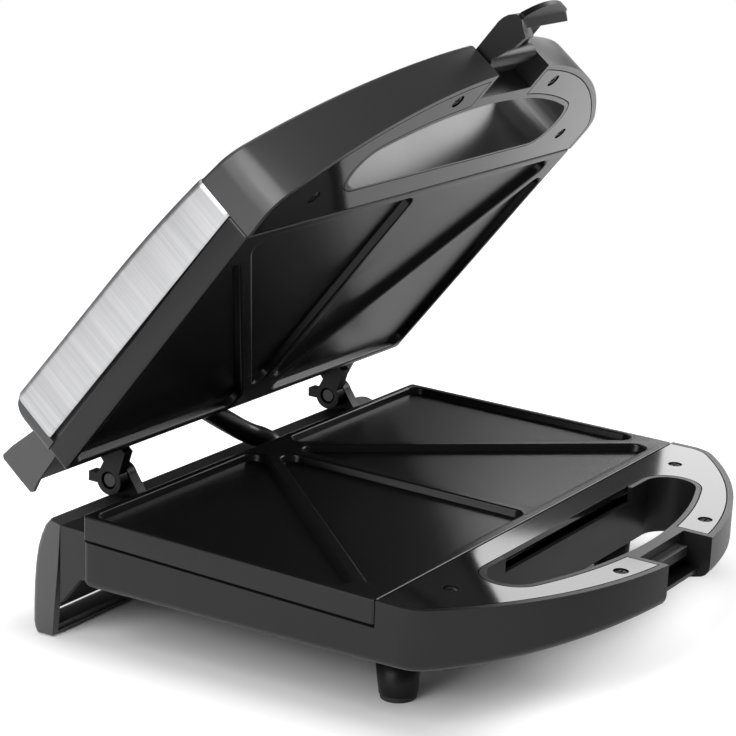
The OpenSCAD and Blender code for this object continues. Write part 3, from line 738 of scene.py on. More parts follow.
def handle_cover(name, s):
    """A C-shaped cover whose top is at height zero."""
    front = [(x, y) for x, y in shell_outline(s, s.rim + s.cover_gap, s.plate_d) if y < 20]
    left = [p for p in front if p[0] < 0]
    right = [p for p in front if p[0] >= 0]
    made = prism_z(name, left + right, -s.cover, 0)
    side = s.notch + WALL + s.cover_gap
    cut(
        made,
        block("back", (-130, -0.6, -9), (130, 60, 9)),
        prism_z("hole", hole_outline(s, HOLE_WALL + s.cover_gap), -9, 9),
        block("notch", (-side, -80, -9), (side, -s.hole_front + 2, 9)),
    )
    for x, y in COVER_SCREWS:
        for way in (-1, 1):
            cut(made, rod("recess", 2.9, -1.5, 2, at=(way * x, y, 0)))
    return made


def cross_screw(name, at, r=2.6, top=-0.35):
    """A raised round screw head with a cross in it."""
    dome = [
        (1.3, -4), (1.3, -1.5), (r, -1.4), (r, top - 0.35),
        (r * 0.86, top - 0.1), (r * 0.5, top), (0.2, top + 0.02),
    ]
    head = turned(name, dome, 32, "Z", at)
    x, y, z = at
    arm, half, floor = r * 0.7, 0.3, z + top - 0.7
    cut(
        head,
        block("slot", (x - arm, y - half, floor), (x + arm, y + half, z + 1)),
        block("slot", (x - half, y - arm, floor), (x + half, y + arm, z + 1)),
    )
    return head


def facing_up(s):
    """A piece drawn with its top at zero, on the base."""
    return s.base_place()


def facing_down(s):
    """The same piece on the lid, facing the base."""
    return s.lid_place() @ Matrix.Translation((0, 0, s.lid_gap)) @ Matrix.Diagonal((1, 1, -1, 1))


HALVES = {
    "lower": ("base", facing_up, "lower_handle_cover", "lower_cover_screws"),
    "lid": ("lid", facing_down, "lid_handle_cover", "lid_cover_screws"),
}


class TOASTER_OT_handle_covers(Piece):
    """Builds the polished cover of each handle"""

    bl_idname = "toaster.handle_covers"
    bl_label = "Handle covers"

    def execute(self, context):
        s = Sizes(context.scene)
        for half, (body, place, node, _) in HALVES.items():
            cover = handle_cover(f"{half}_handle_cover_piece", s)
            settle(cover, place(s), body, looks(context.scene, "gloss"), [node], 0.45)
        return {"FINISHED"}


class TOASTER_OT_cover_screws(Piece):
    """Builds the cross-head screws of the handle covers"""

    bl_idname = "toaster.cover_screws"
    bl_label = "Cover screws"

    def execute(self, context):
        s = Sizes(context.scene)
        for half, (body, place, _, node) in HALVES.items():
            places = [(way * x, y, 0) for x, y in COVER_SCREWS for way in (-1, 1)]
            heads = [cross_screw(f"{half}_cover_screw_heads", at) for at in places]
            screws = join(heads[0], *heads[1:])
            settle(screws, place(s), body, looks(context.scene, "black_steel"), [node], 0.08, 2)
        return {"FINISHED"}


# Cooking plates


def pockets(s):
    """The four triangular pockets' corners, each turning left."""
    x0, y0, y1 = s.half_w - 3.0, 4.4, s.plate_d - 2.2
    slant = math.atan2(y1 - y0, x0 - s.ridge / 2)
    up, over = s.ridge / 2 / math.cos(slant), s.ridge / 2 / math.sin(slant)
    left = [
        [(-x0, y0 + up), (-s.ridge / 2 - over, y1), (-x0, y1)],
        [(-x0 + over, y0), (-s.ridge / 2, y0), (-s.ridge / 2, y1 - up)],
    ]
    right = [[(-x, y) for x, y in reversed(t)] for t in left]
    return left + right


def incentre(t):
    """The middle and the radius of the circle that just fits in a triangle."""
    a, b, c = (math.dist(t[1], t[2]), math.dist(t[2], t[0]), math.dist(t[0], t[1]))
    m = tuple((a * t[0][k] + b * t[1][k] + c * t[2][k]) / (a + b + c) for k in (0, 1))
    (x0, y0), (x1, y1), (x2, y2) = t
    area = abs((x1 - x0) * (y2 - y0) - (x2 - x0) * (y1 - y0)) / 2
    return m, 2 * area / (a + b + c)


def pocket_ring(t, inset, r, z, n=10):
    """The triangle drawn in by inset, its corners rounded by r."""
    m, inner = incentre(t)
    scale = 1 - (inset + r) / inner
    ring = []
    for i in range(3):
        c = [m[k] + scale * (t[i][k] - m[k]) for k in (0, 1)]
        before = (t[i][0] - t[i - 1][0], t[i][1] - t[i - 1][1])
        after = (t[(i + 1) % 3][0] - t[i][0], t[(i + 1) % 3][1] - t[i][1])
        a0 = math.atan2(before[1], before[0]) - math.pi / 2
        turn = math.atan2(
            before[0] * after[1] - before[1] * after[0], before[0] * after[0] + before[1] * after[1]
        )
        angles = [a0 + turn * k / n for k in range(n + 1)]
        ring += [(c[0] + r * math.cos(a), c[1] + r * math.sin(a), z) for a in angles]
    return ring


def pocket_rings(s, t):
    """Rings from the plate's face, over a rounded lip and down a steep wall, to the pocket's middle."""
    _, inner = incentre(t)
    wall, depth = s.pocket_wall, s.pocket_depth
    lip = [(-0.7, 0.0), (-0.35, -0.06), (-0.05, -0.25), (0.12, -0.5), (0.22, -0.9)]
    foot = [(0.95, -wall + 0.9), (1.2, -wall + 0.4), (1.7, -wall + 0.1), (2.4, -wall)]
    land = [(4.6, -wall - 0.05), (5.6, -wall - 0.12), (6.6, -wall - 0.32)]
    rings = [pocket_ring(t, inset, 5.2 - inset * 0.7, z) for inset, z in lip + foot + land]
    start, end = land[-1][0], inner - 0.5
    for i in range(1, 9):
        k = i / 8
        inset = start + (end - start) * k
        r = 0.4 * (1 - k) + 0.3
        sink = wall + 0.32 + (depth - wall - 0.32) * k
        rings.append(pocket_ring(t, min(inset, inner - r - 0.05), r, -sink))
    return rings


def plate_ring(s, inset, z):
    """The plate's outline drawn in by inset."""
    front = 1.5 - min(inset, 1.2)
    back, r = s.plate_corner_r - inset, s.plate_corner_r
    x1, y1 = s.half_w - 0.4, s.plate_d + 0.8
    turns = (
        arc(x1 - 1.5, 1.9, front, -90, 0, 5)
        + arc(x1 - r, y1 - r, back, 0, 90, 10)
        + arc(-x1 + r, y1 - r, back, 90, 180, 10)
        + arc(-x1 + 1.5, 1.9, front, 180, 270, 5)
    )
    return [(x, y, z) for x, y in turns]


def bridge(faces, a, b, n):
    for i in range(n):
        faces.append((a + i, a + (i + 1) % n, b + (i + 1) % n, b + i))


def cooking_plate(name, s, skirt):
    """A plate with its face at height zero and its pockets below."""
    verts, faces, loops = [], [], []
    rim = [
        (0.7, 0.0), (0.42, -0.06), (0.2, -0.2), (0.06, -0.42), (0.0, -0.7),
        (0.0, -skirt), (1.2, -skirt), (1.2, -3.0),
    ]
    n = len(plate_ring(s, 0, 0))
    for inset, z in rim:
        verts += plate_ring(s, inset, z)
    for i in range(len(rim) - 1):
        bridge(faces, i * n, (i + 1) * n, n)
    faces.append(tuple(range((len(rim) - 1) * n, len(rim) * n)))
    loops.append(list(range(n)))
    for t in pockets(s):
        rings = pocket_rings(s, t)
        m = len(rings[0])
        start = len(verts)
        for ring in rings:
            verts += ring
        for i in range(len(rings) - 1):
            bridge(faces, start + i * m, start + (i + 1) * m, m)
        middle, _ = incentre(t)
        verts.append((*middle, -s.pocket_depth))
        last = start + (len(rings) - 1) * m
        faces += [(last + i, last + (i + 1) % m, len(verts) - 1) for i in range(m)]
        loops.append(list(range(start, start + m)))
    order = [i for loop in loops for i in loop]
    outlines = [[Vector(verts[i]) for i in loop] for loop in loops]
    faces += [tuple(order[i] for i in tri) for tri in tessellate_polygon(outlines)]
    return new_object(name, verts, faces)


class TOASTER_OT_cooking_plates(Piece):
    """Builds both coated plates with their triangular pockets"""

    bl_idname = "toaster.cooking_plates"
    bl_label = "Cooking plates"

    def execute(self, context):
        s = Sizes(context.scene)
        coat = looks(context.scene, "coating")
        lower = cooking_plate("lower_plate_coated", s, s.lower_skirt)
        settle(lower, facing_up(s), "base", coat, ["lower_cooking_plate"])
        upper = cooking_plate("upper_plate_coated", s, s.upper_skirt)
        settle(upper, facing_down(s), "lid", coat, ["upper_cooking_plate"])
        return {"FINISHED"}


# Feet and stand


class TOASTER_OT_feet(Piece):
    """Builds the two front feet and their rubber pads"""

    bl_idname = "toaster.feet"
    bl_label = "Front feet"

    def execute(self, context):
        s = Sizes(context.scene)
        top = s.rim_h - 22.5
        for side, way in (("left", -1), ("right", 1)):
            at = (way * FOOT[0], FOOT[1] - ORIGIN_Y, 0)
            profile = [(6.4, 2), (7.2, 2.1), (9.55, top)]
            foot = turned(f"front_foot_{side}_cone", profile, 64, "Z", at)
            settle(foot, TO_METRES, "base", looks(context.scene, "dark"), [f"front_foot_{side}"])
            pad = rod(f"front_foot_{side}_pad", 6.8, 0, 2.05, "Z", at, 0.5)
            nodes = ["front_foot_pads"] if side == "left" else []
            settle(pad, TO_METRES, "base", looks(context.scene, "rubber"), nodes)
        return {"FINISHED"}


# The stand in side view, from its upper front edge over the back to its foot, as (y, z) points
STAND_SIDE = [
    (148.4, DECK), (155, -8.9), (157.6, -11.8), (159.7, -16.3), (161.3, -21.5), (162.4, -28), (163.1, -36),
    (163.4, -44), (163.4, -52.5), (162.9, -55), (161.6, -57.4), (160, -60), (152.5, -60), (151, -42),
    (149.5, -26),
]


def stand_solid(name, r):
    """The stand's bar along x, its two rear corners rounded by r."""
    turn = [math.radians(a) for a in range(0, 91, 15)]
    ends = [(BOX_HALF - r + r * math.sin(a), r * (1 - math.cos(a))) for a in turn]
    sections = [(-x, drawn) for x, drawn in reversed(ends)] + ends
    rear = range(1, len(STAND_SIDE) - 3)
    n = len(STAND_SIDE)
    verts = [
        (x, y - (drawn if i in rear else 0), z)
        for x, drawn in sections
        for i, (y, z) in enumerate(STAND_SIDE)
    ]
    faces = [tuple(range(n)), tuple(range(len(verts) - n, len(verts)))]
    for k in range(len(sections) - 1):
        bridge(faces, k * n, (k + 1) * n, n)
    return new_object(name, verts, faces)


class TOASTER_OT_rear_stand(Piece):
    """Builds the rear stand with its ribs, pads and the cord's bush"""

    bl_idname = "toaster.rear_stand"
    bl_label = "Rear stand"

    def execute(self, context):
        s = Sizes(context.scene)
        place = s.base_place()
        stand = stand_solid("rear_stand_shell", 3.6)
        for i in range(-2, 2):
            x0, x1 = BAY * i + RIB, BAY * (i + 1) - RIB
            cut(
                stand,
                block("bay", (x0, 140, -55), (x1, 153.2, -12.4)),
                block("bay", (x0, 150, -53), (x1, 160.4, -20)),
                block("slot", (x0, 150, -53), (x1, 170, -50.6)),
            )
        floor = block("floor", (-150, 60, -20), (150, 140, 0.8))
        floor.data.transform(place.inverted() @ TO_METRES)
        cut(stand, floor)
        settle(stand, place, "base", looks(context.scene, "stand"), ["rear_stand"], 0.5)
        rubber = looks(context.scene, "rubber")
        pads = []
        for way in (-1, 1):
            low, high = sorted((way * 70.2, way * 99.8))
            y = 156.2 - ORIGIN_Y
            pads.append(block("rear_stand_pad_pair", (low, y, 0), (high, y + 5.6, 1.9)))
        settle(join(*pads), TO_METRES, "base", rubber, ["rear_stand_pads"], 0.3)
        ring = [(3.6, 163), (8, 163), (8, 165.2), (7.4, 166), (4.4, 166), (3.6, 165.4), (3.6, 163)]
        bush = turned("cord_bush_ring", ring, 48, "Z")
        for v in bush.data.vertices:
            v.co = Vector((78 + v.co.x, v.co.z, -42 - v.co.y))
        settle(bush, place, "base", rubber, ["cord_bush"])
        return {"FINISHED"}


# Hinges


class TOASTER_OT_hinges(Piece):
    """Builds the hinge lugs on the base, the arms on the lid, and their pins"""

    bl_idname = "toaster.hinges"
    bl_label = "Hinges"

    def execute(self, context):
        s = Sizes(context.scene)
        dark, steel = looks(context.scene, "dark"), looks(context.scene, "black_steel")
        y, z = s.hinge_y, s.hinge_z
        axis = (0, y, z)
        for side, x in HINGES.items():
            x1 = x + LUG_AT
            foot = [(139, DECK), (147.9, DECK), (157, DECK + 1), (157.9, z), (147, z + 3), (142, -5)]
            lug = prism_x(f"base_hinge_{side}_lug", foot, x1, x1 + LUG_W)
            fuse(lug, rod("knuckle", KNUCKLE_R, x1, x1 + LUG_W, "X", axis))
            fuse(lug, block("plate", (x1 - 3.4, 134.5, DECK), (x1 + 8, 147.9, DECK + 2)))
            settle(lug, s.base_place(), "base", dark, [f"base_hinge_{side}"], 0.35)
            web = [(146.6, z - 2), (137, 0.6), (137, 14), (146.4, 14), (148, 5.6), (y, z + 5.9), (y + 2, z)]
            arm = prism_x(f"lid_hinge_{side}_arm", web, x, x + ARM_W)
            nose = block("nose", (x, 4, -2), (x + ARM_W, 10.2, 2))
            nose.data.transform(Matrix.Translation(axis) @ Matrix.Rotation(math.radians(51), 4, "X"))
            fuse(arm, rod("knuckle", KNUCKLE_R, x, x + ARM_W, "X", axis), nose)
            cut(arm, rod("recess", 3.6, x - 2, x + 2.4, "X", axis))
            cut(arm, rod("bore", 2.06, x - 2, x + 7, "X", axis))
            settle(arm, s.lid_place(), "lid", dark, [f"lid_hinge_{side}"], 0.35)
            pin = rod(f"hinge_pin_{side}_bar", PIN_R, x + 1.8, x + 12, "X", axis)
            join(pin, rod("head", 3, x + 0.6, x + 2, "X", axis, 0.4))
            settle(pin, s.base_place(), "base", steel, [f"hinge_pin_{side}"])
        return {"FINISHED"}


# The sleeve's middle line, from the rear box up to the lid
SLEEVE = [
    (20, 141, -15), (20, 141, -9), (19.2, 142.4, -6.4), (16.8, 145.2, -4.4), (13.4, 147.6, -2.8),
    (8.6, 149.4, 0), (2.6, 149.8, 3.6), (-3.4, 150, 7.2), (-8.4, 150.6, 10.4), (-13.2, 151.4, 13.6),
    (-17.6, 153.2, 16.2), (-19.6, 154.9, 17.9), (-20, 158, 20.4),
]
SLEEVE_R = 4.55


def smooth_path(path, n):
    """Points on a smooth curve through the path, n to each of its stretches."""
    fine = []
    for i in range(len(path) - 1):
        before, after = path[max(i - 1, 0)], path[min(i + 2, len(path) - 1)]
        a, b = path[i], path[i + 1]
        for k in range(n):
            t = k / n
            square = (2 * before - 5 * a + 4 * b - after) * t * t
            cube = (3 * a - before - 3 * b + after) * t**3
            fine.append(0.5 * (2 * a + (b - before) * t + square + cube))
    return fine + [path[-1]]


def tube(name, path, r, n):
    """A round tube along a path, closed at both ends."""
    verts, faces = [], []
    for i, p in enumerate(path):
        way = (path[min(i + 1, len(path) - 1)] - path[max(i - 1, 0)]).normalized()
        side = Vector((0, 1, 0.3)).cross(way).normalized()
        up = way.cross(side)
        for k in range(n):
            a = math.tau * k / n
            verts.append(p + r * (math.cos(a) * side + math.sin(a) * up))
    for i in range(len(path) - 1):
        bridge(faces, i * n, (i + 1) * n, n)
    faces += [tuple(range(n)), tuple(range(len(verts) - n, len(verts)))]
    return new_object(name, verts, faces)


class TOASTER_OT_lead_sleeve(Piece):
    """Builds the flexible sleeve of the leads between base and lid"""

    bl_idname = "toaster.lead_sleeve"
    bl_label = "Lead sleeve"

    def execute(self, context):
        s = Sizes(context.scene)
        path = [Vector(p) for p in SLEEVE]
        sleeve = tube("lead_sleeve_tube", smooth_path(path, 5), SLEEVE_R, 24)
        place = s.base_place()
        sleeve.data.transform(place)
        for face in sleeve.data.polygons:
            face.use_smooth = True
        sleeve.data.materials.append(looks(context.scene, "sleeve"))
        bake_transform(sleeve)
        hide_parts("lead_sleeve")
        return {"FINISHED"}


# Lid pieces


# The lid's rounded back, from its lower edge up, as (y, z) points
LID_BACK = [
    (131.8, LID_BASE), (132.5, 15), (132.8, 20), (132.5, 24.7), (131.7, 27.6), (130.4, 30), (128.8, 31.9),
    (127, 32.9),
]
# Back edge of the steel cover's seat, and the play round the cover
SEAT_BACK = 126.8
SEAT_PLAY = 0.15
# Thickness of the rear block's deeper ends
END_W = 1.8


def side_block(name, way, near_x, low, high):
    """A block from near_x outwards on one side, between two (y, z) corners."""
    x0, x1 = sorted((way * near_x, way * OUTSIDE))
    return block(name, (x0, *low), (x1, *high))


class TOASTER_OT_lid_housing(Piece):
    """Builds the lid's shell with its handle, finger hole, latch notch and rear block"""

    bl_idname = "toaster.lid_housing"
    bl_label = "Lid housing"

    def execute(self, context):
        s = Sizes(context.scene)
        back = 133.3
        high = rounding(s.top_round, 4, low=False)
        sections = [(0, lambda y: s.lid_gap)] + [(inset, lambda y, r=r: s.lid_z(y) + r) for inset, r in high]
        lid = shell_solid("lid_housing_shell", s, sections, back)
        keep = [(-80, -5), (0, -5), (0, LID_BASE)] + LID_BACK + [(126.9, 50), (-80, 50)]
        common(lid, prism_x("side_view", keep, -OUTSIDE, OUTSIDE))
        rows = [SEAT_BACK * i / 40 for i in range(41)]
        lowered = [(y, s.lid_z(y) - s.sheet - SEAT_PLAY) for y in rows]
        cut(lid, prism_x("top_step", lowered + [(SEAT_BACK, ABOVE), (0, ABOVE)], -OUTSIDE, OUTSIDE))
        for way in (-1, 1):
            seat_x, groove_x = s.half_w - s.sheet - SEAT_PLAY, s.half_w - 2.3
            cut(lid, side_block("side_step", way, seat_x, (0, 5), (SEAT_BACK, ABOVE)))
            cut(lid, side_block("side_groove", way, groove_x, (2, 5), (SEAT_BACK, 13.1)))
        hollow = [(s.rim, lambda y: -1.0), (s.rim, lambda y: s.lid_z(y) - 3.6)]
        inside = shell_solid("inside", s, hollow, back)
        cut(
            inside,
            prism_z("round_hole", hole_outline(s, HOLE_WALL), -3, ABOVE),
            block("round_notch", (-s.notch - WALL, AHEAD, -3), (s.notch + WALL, -s.hole_front + 2, ABOVE)),
            block("back_wall", (-OUTSIDE, 130.4, -3), (OUTSIDE, 150, ABOVE)),
        )
        cut(lid, inside)
        cut(
            lid,
            prism_z("hole", hole_outline(s, 0), -2, ABOVE),
            prism_z("wall_step", [(x, y + 1) for x, y in hole_outline(s, 0)], -2, ABOVE),
            block("notch", (-s.notch, AHEAD, -2), (s.notch, NOTCH_BACK, 10)),
            block("notch_top", (-s.notch, AHEAD, -2), (s.notch, -57.6, ABOVE)),
        )
        for x in LAMPS.values():
            cut(lid, rod("lamp_hole", 3, 10, ABOVE, at=(x, LAMP_Y, 0)))
        settle(lid, s.lid_place(), "lid", looks(context.scene, "lid_shell"), ["lid_housing"], s.edge)
        top = [(158.3, 26), (157.3, 27.2), (150.6, 26.3), (139.3, 23.6), (131, 21.8)]
        middle = [(131, 14), (139, 13.5), (149, 11.6), (155.2, 11), (156.4, 12), (158.2, 14)] + top
        end = [(131, 11.2), (137, 9.6), (151.6, 9), (157, 7.9), (158, 8.8)] + top
        rear = prism_x("lid_rear_block", middle, -BOX_HALF, BOX_HALF)
        for x0 in (-BOX_HALF, BOX_HALF - END_W):
            fuse(rear, prism_x("end", end, x0, x0 + END_W))
        for x in HINGES.values():
            cut(rear, block("seat", (x - 0.4, 136.5, 5), (x + 5.4, 147, 14)))
        cut(rear, rod("lead_hole", 6.8, 5, 18, at=(-19.2, 140.2, 0)))
        settle(rear, s.lid_place(), "lid", looks(context.scene, "stand"), (), 0.5)
        return {"FINISHED"}


class TOASTER_OT_steel_cover(Piece):
    """Builds the brushed steel cover, folded down over the lid's two sides"""

    bl_idname = "toaster.steel_cover"
    bl_label = "Steel cover"

    def execute(self, context):
        s = Sizes(context.scene)
        fold = 2.4
        verts, faces, sheet = [], [], []
        y0, y1, hem = 0.2, 126.6, 1.4
        near = [hem * k / 4 for k in range(5)]
        flat_run = y1 - y0 - 2 * hem
        middle = [y0 + hem + flat_run * i / 44 for i in range(1, 44)]
        rows = [y0 + k for k in near] + middle + [y1 - k for k in reversed(near)]
        turn = [math.radians(a) for a in range(0, 91, 15)]
        for y in rows:
            end = max(1 - min(y - y0, y1 - y) / hem, 0) ** 2 * 0.5
            w = s.half_w - end
            top, low = s.lid_z(y) - end, 10.8 + 2.5 * y / 126.7
            half = [(w - 0.5 * (1 - k / 4) ** 2, low + hem * k / 4) for k in range(4)]
            half += [(w, low + hem), (w, (low + top - fold) / 2)]
            half += [(w - fold + fold * math.cos(a), top - fold + fold * math.sin(a)) for a in turn]
            half += [((w - fold) * k / 8, top) for k in range(7, 0, -1)]
            section = half + [(0, top)] + [(-x, z) for x, z in reversed(half)]
            run = 0.0
            for i, (x, z) in enumerate(section):
                run += math.dist(section[i - 1], (x, z)) if i else 0.0
                verts.append((x, y, z))
                sheet.append((run * 0.001, y * 0.001))
        n = len(verts) // len(rows)
        for j in range(len(rows) - 1):
            faces += [(j * n + i, j * n + i + 1, (j + 1) * n + i + 1, (j + 1) * n + i) for i in range(n - 1)]
        mesh = bpy.data.meshes.new("steel_cover_sheet")
        mesh.from_pydata(verts, [], faces)
        flat = mesh.uv_layers.new(name="Sheet")
        for corner in mesh.loops:
            flat.data[corner.index].uv = sheet[corner.vertex_index]
        cover = bpy.data.objects.new("steel_cover_sheet", mesh)
        context.scene.collection.objects.link(cover)
        outward = mesh.polygons[len(mesh.polygons) // 2].normal.z > 0
        thick = cover.modifiers.new("Thickness", "SOLIDIFY")
        thick.thickness, thick.offset = s.sheet, -1.0 if outward else 1.0
        thick.use_even_offset = True
        bake(cover)
        steel = looks(context.scene, "steel")
        settle(cover, s.lid_place(), "lid", steel, ["steel_cover"], 0.2, 2, 60.0)
        return {"FINISHED"}


class TOASTER_OT_lamps(Piece):
    """Builds the two lamp lenses in the strip behind the lid's handle"""

    bl_idname = "toaster.lamps"
    bl_label = "Lamps"

    def execute(self, context):
        s = Sizes(context.scene)
        for (name, x), tint in zip(LAMPS.items(), ("red", "green")):
            z = s.lid_z(LAMP_Y)
            rises = [(2.9, -6), (2.9, 0), (2.75, 0.25), (2.0, 0.45), (0.9, 0.55), (0.1, 0.57)]
            dome = [(r, z + rise) for r, rise in rises]
            lens = turned(f"{name}_lamp_lens", dome, 40, "Z", (x, LAMP_Y, 0))
            settle(lens, s.lid_place(), "lid", looks(context.scene, tint), [f"{name}_lamp"])
        return {"FINISHED"}


# Latch


class TOASTER_OT_latch(Piece):
    """Builds the latch, its pin, and the catch it hooks under"""

    bl_idname = "toaster.latch"
    bl_label = "Latch"

    def execute(self, context):
        s = Sizes(context.scene)
        dark = looks(context.scene, "dark")
        y, z, w = s.latch_y, s.latch_z, s.latch_w
        outside = [
            (y, 14.4), (-77, 14.4), (-79.4, 14), (-81.6, 13.1), (-83.8, 11.4), (-84.6, 9.4),
            (-84.4, 8), (-82.3, 5.4),
        ]
        roof = outside + [(-80.8, 6.4), (-82.2, 8.8), (-81.8, 10.6), (-80, 11.5), (-76.8, 12.2), (y, 12.2)]
        cheek = outside + [(-80.6, 2.4), (-79.3, 2.7), (-74.6, 3.4), (-69.7, 5.7), (-64.5, 7.4), (-62.5, 7.2)]
        hook = [(-82.3, 5.6), (-80.6, 2.4), (-79.3, 2.7), (-80.1, 5.6)]
        latch = prism_x("latch_body", cheek, -w, 3 - w)
        lip = prism_x("lip", [(-83.2, 7.9), (-92, 8.1), (-92, 9.9), (-83.2, 10.4)], -15.6, 15.6)
        common(lip, turned("curve", [(30, 0), (30, 20)], 128, "Z", (0, -60, 0)))
        fuse(
            latch,
            prism_x("roof", roof, 2.5 - w, w),
            prism_x("hook", hook, 2.5 - w, 6 - w),
            rod("barrel", s.barrel_r, -w, w, "X", (0, y, z)),
            lip,
        )
        cut(latch, rod("bore", 1.16, -w - 1, w + 1, "X", (0, y, z)))
        settle(latch, s.lid_place(), "latch", dark, ["latch"], 0.45)
        pin = rod("latch_pin_bar", 1.1, -s.notch - 1.8, s.notch + 1.8, "X", (0, y, z), steps=24)
        settle(pin, s.lid_place(), "lid", looks(context.scene, "screw"), ["latch_pin"])
        catch = block("latch_catch_bar", (-12.9, -56.6, -7.5), (12.9, NOTCH_BACK, -3.5))
        settle(catch, s.base_place(), "base", dark, ["latch_catch"], 0.3)
        return {"FINISHED"}


# Carried-over parts and stage

INNER = {
    "lower_plate_screws": "screw",
    "upper_plate_screws": "screw",
    "stand_screws": "screw",
    "lower_heating_element": "element",
    "upper_heating_element": "element",
    "lower_heat_shield": "shield",
    "upper_heat_shield": "shield",
    "thermostat": "brass",
    "thermal_fuse": "white",
    "terminal_block": "white",
}


class TOASTER_OT_inner_parts(Piece):
    """Gives the enclosed CAD parts their materials"""

    bl_idname = "toaster.inner_parts"
    bl_label = "Inner parts"

    def execute(self, context):
        for node, kind in INNER.items():
            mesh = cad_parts[node].data
            mesh.materials.clear()
            mesh.materials.append(looks(context.scene, kind))
        return {"FINISHED"}


def soft_light(name, at, facing, size, brightness):
    """A rectangular lamp whose face has the given brightness, where 1 is a white sheet's."""
    light = bpy.data.lights.new(name, "AREA")
    light.shape, light.size, light.size_y = "RECTANGLE", size[0], size[1]
    light.energy = brightness * math.pi * size[0] * size[1]
    lamp = bpy.data.objects.new(name, light)
    bpy.context.scene.collection.objects.link(lamp)
    lamp.location = at
    lamp.rotation_mode = "QUATERNION"
    lamp.rotation_quaternion = Vector(facing).to_track_quat("-Z", "Y")
    return lamp


# The L-shaped panel: its direction and distance, and the sideways and upright spans of its two parts
PANEL_AZIMUTH = math.radians(26.34)
PANEL_DISTANCE = 1.6
PANEL_PARTS = {
    "Panel short side": ((-0.045, 0.155), (0.7, 1.0)),
    "Panel long side": ((0.155, 0.35), (0.45, 1.0)),
}


def panel_lamps(brightness):
    """Two upright lamps side by side that make an L."""
    away = Vector((math.cos(PANEL_AZIMUTH), math.sin(PANEL_AZIMUTH), 0))
    side = Vector((away.y, -away.x, 0))
    for name, ((x0, x1), (z0, z1)) in PANEL_PARTS.items():
        at = PANEL_DISTANCE * away + side * ((x0 + x1) / 2) + Vector((0, 0, (z0 + z1) / 2))
        soft_light(name, at, -away, (x1 - x0, z1 - z0), brightness)


# The floor's shaded patch: its middle, its half size and the width of its soft edge
PATCH_MIDDLE = (0, 0.02, 0)
PATCH_HALF = (0.095, 0.085, 0)
PATCH_EDGE = 0.04
# Where mirrored rays see the floor's white: left of the toaster, and far from it
WHITE_LEFT = (-0.02, -0.12)
WHITE_FAR = (0.3, 0.45)


def floor_looks(glow):
    """White paper that stays shaded under the toaster and turns to the background's white around it."""
    made, tree, paint = new_material("Pale floor")
    paint.inputs["Base Color"].default_value = (0.95, 0.95, 0.95, 1)
    paint.inputs["Roughness"].default_value = 0.8
    paint.inputs["Emission Color"].default_value = (1, 1, 1, 1)
    link = tree.links.new
    spot = add_node(tree, "NewGeometry").outputs["Position"]
    outside = spot
    for operation, values in (
        ("SUBTRACT", {1: PATCH_MIDDLE}),
        ("ABSOLUTE", None),
        ("SUBTRACT", {1: PATCH_HALF}),
        ("MAXIMUM", {1: (0, 0, 0)}),
        ("LENGTH", None),
    ):
        step = add_node(tree, "VectorMath", operation, values)
        link(outside, step.inputs[0])
        outside = step.outputs["Value" if operation == "LENGTH" else "Vector"]
    parts = add_node(tree, "SeparateXYZ")
    link(spot, parts.inputs["Vector"])
    reach = add_node(tree, "VectorMath", "LENGTH")
    link(spot, reach.inputs[0])
    left = smooth_step(tree, *WHITE_LEFT, parts.outputs["X"])
    distant = smooth_step(tree, *WHITE_FAR, reach.outputs["Value"])
    seen = seen_rays(tree, combine(tree, "MAXIMUM", left, distant))
    white = smooth_step(tree, 0.0, PATCH_EDGE, outside, glow)
    link(combine(tree, "MULTIPLY", white, seen), paint.inputs["Emission Strength"])
    return made


def seen_rays(tree, share):
    """1 for rays from the camera, share for mirrored and transmitted rays, else 0."""
    rays = add_node(tree, "LightPath").outputs
    bent = combine(tree, "MAXIMUM", rays["Is Glossy Ray"], rays["Is Transmission Ray"])
    return combine(tree, "MAXIMUM", rays["Is Camera Ray"], combine(tree, "MULTIPLY", bent, share))


def surround(brightness):
    """A dim room whose white ground carries the floor on to the horizon."""
    world = bpy.data.worlds.new("White surround")
    world.use_nodes = True
    tree = world.node_tree
    room = tree.nodes["Background"]
    room.inputs["Color"].default_value = (1, 1, 1, 1)
    room.inputs["Strength"].default_value = brightness
    white = add_node(tree, "Background", values={"Color": (1, 1, 1, 1)})
    way = add_node(tree, "TexCoord")
    parts = add_node(tree, "SeparateXYZ")
    below = add_node(tree, "Math", "LESS_THAN", {1: 0.0})
    mix = add_node(tree, "MixShader")
    link = tree.links.new
    link(way.outputs["Generated"], parts.inputs["Vector"])
    link(parts.outputs["Z"], below.inputs[0])
    link(seen_rays(tree, below.outputs["Value"]), mix.inputs["Fac"])
    link(room.outputs["Background"], mix.inputs[1])
    link(white.outputs["Background"], mix.inputs[2])
    link(mix.outputs["Shader"], tree.nodes["World Output"].inputs["Surface"])
    return world


# The camera's azimuth, elevation and roll in degrees, and its place in body millimetres
CAMERA_ANGLES = (-57.05, 16.15, 2.41)
CAMERA_AT = (-719.9, -385.02, 290.6)


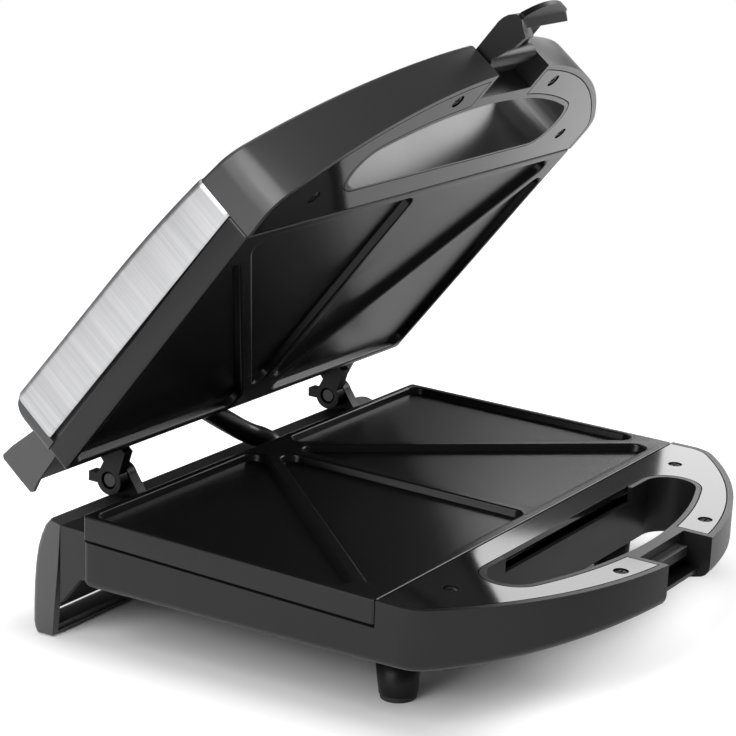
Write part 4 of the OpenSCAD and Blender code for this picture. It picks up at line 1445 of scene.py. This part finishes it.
class TOASTER_OT_stage(Piece):
    """Sets the floor, the white surround, the soft lights and the camera"""

    bl_idname = "toaster.stage"
    bl_label = "Stage"

    def execute(self, context):
        scene = context.scene
        s = Sizes(scene)
        studio = scene.toaster_studio
        floor = turned("studio_floor", [(1.1, -0.02), (1.1, 0.0)], 96)
        floor.data.materials.append(floor_looks(studio.glow))
        scene.world = surround(studio.world)
        middle = Vector((0, 0, 0.1))
        panel_lamps(studio.panel)
        for name, at, size, brightness in (
            ("Right light", Vector((1.5, -0.5, 0.9)), (1.0, 0.9), studio.right),
            ("High left light", Vector((-1.35, -0.1, 1.2)), (1.0, 1.0), studio.left_high),
            ("Low left light", Vector((-1.5, 0.35, 0.55)), (1.2, 0.8), studio.left_low),
            ("Back light", Vector((0.1, 0.95, 1.45)), (1.4, 1.0), studio.back),
        ):
            soft_light(name, at, middle - at, size, brightness)
        scene.view_settings.view_transform = "Standard"
        azimuth, elevation, roll = (math.radians(a) for a in CAMERA_ANGLES)
        right = Vector((math.cos(azimuth), math.sin(azimuth), 0))
        level = math.cos(elevation)
        back = Vector((math.sin(azimuth) * level, -math.cos(azimuth) * level, math.sin(elevation)))
        up = back.cross(right)
        across = right * math.cos(roll) + up * math.sin(roll)
        upright = up * math.cos(roll) - right * math.sin(roll)
        tilt = Matrix.Rotation(s.slope, 3, "X")
        columns = [tilt @ v for v in (across, upright, back)]
        camera = bpy.data.objects.new("Camera", bpy.data.cameras.new("Camera"))
        scene.collection.objects.link(camera)
        camera.data.lens = studio.lens
        camera.data.sensor_width = 36.0
        camera.data.clip_start, camera.data.clip_end = 0.05, 20.0
        camera.rotation_mode = "QUATERNION"
        camera.rotation_quaternion = Matrix(columns).transposed().to_quaternion()
        camera.location = s.base_place() @ Vector(CAMERA_AT)
        scene.camera = camera
        return {"FINISHED"}


STEPS = [
    TOASTER_OT_lower_housing,
    TOASTER_OT_handle_covers,
    TOASTER_OT_cover_screws,
    TOASTER_OT_cooking_plates,
    TOASTER_OT_feet,
    TOASTER_OT_rear_stand,
    TOASTER_OT_hinges,
    TOASTER_OT_lead_sleeve,
    TOASTER_OT_lid_housing,
    TOASTER_OT_steel_cover,
    TOASTER_OT_lamps,
    TOASTER_OT_latch,
    TOASTER_OT_inner_parts,
    TOASTER_OT_stage,
]


class TOASTER_PT_panel(bpy.types.Panel):
    """The toaster's settings and building steps"""

    bl_idname = "TOASTER_PT_panel"
    bl_label = "Sandwich Toaster"
    bl_space_type = "VIEW_3D"
    bl_region_type = "UI"
    bl_category = "Toaster"

    def draw(self, context):
        layout = self.layout
        for attribute in GROUPS:
            group = getattr(context.scene, attribute)
            box = layout.box()
            box.label(text=attribute.split("_")[1].title())
            for field in group.bl_rna.properties:
                if not field.is_readonly and field.identifier != "name":
                    box.prop(group, field.identifier)
        for step in STEPS:
            layout.operator(step.bl_idname)


CLASSES = [*GROUPS.values(), *STEPS, TOASTER_PT_panel]


def register():
    for made in CLASSES:
        bpy.utils.register_class(made)
    for attribute, group in GROUPS.items():
        setattr(bpy.types.Scene, attribute, PointerProperty(type=group))


def unregister():
    for attribute in GROUPS:
        delattr(bpy.types.Scene, attribute)
    for made in reversed(CLASSES):
        bpy.utils.unregister_class(made)


def main():
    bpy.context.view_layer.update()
    register()
    for step in STEPS:
        group, name = step.bl_idname.split(".")
        getattr(getattr(bpy.ops, group), name)()


if __name__ == "__main__":
    main()
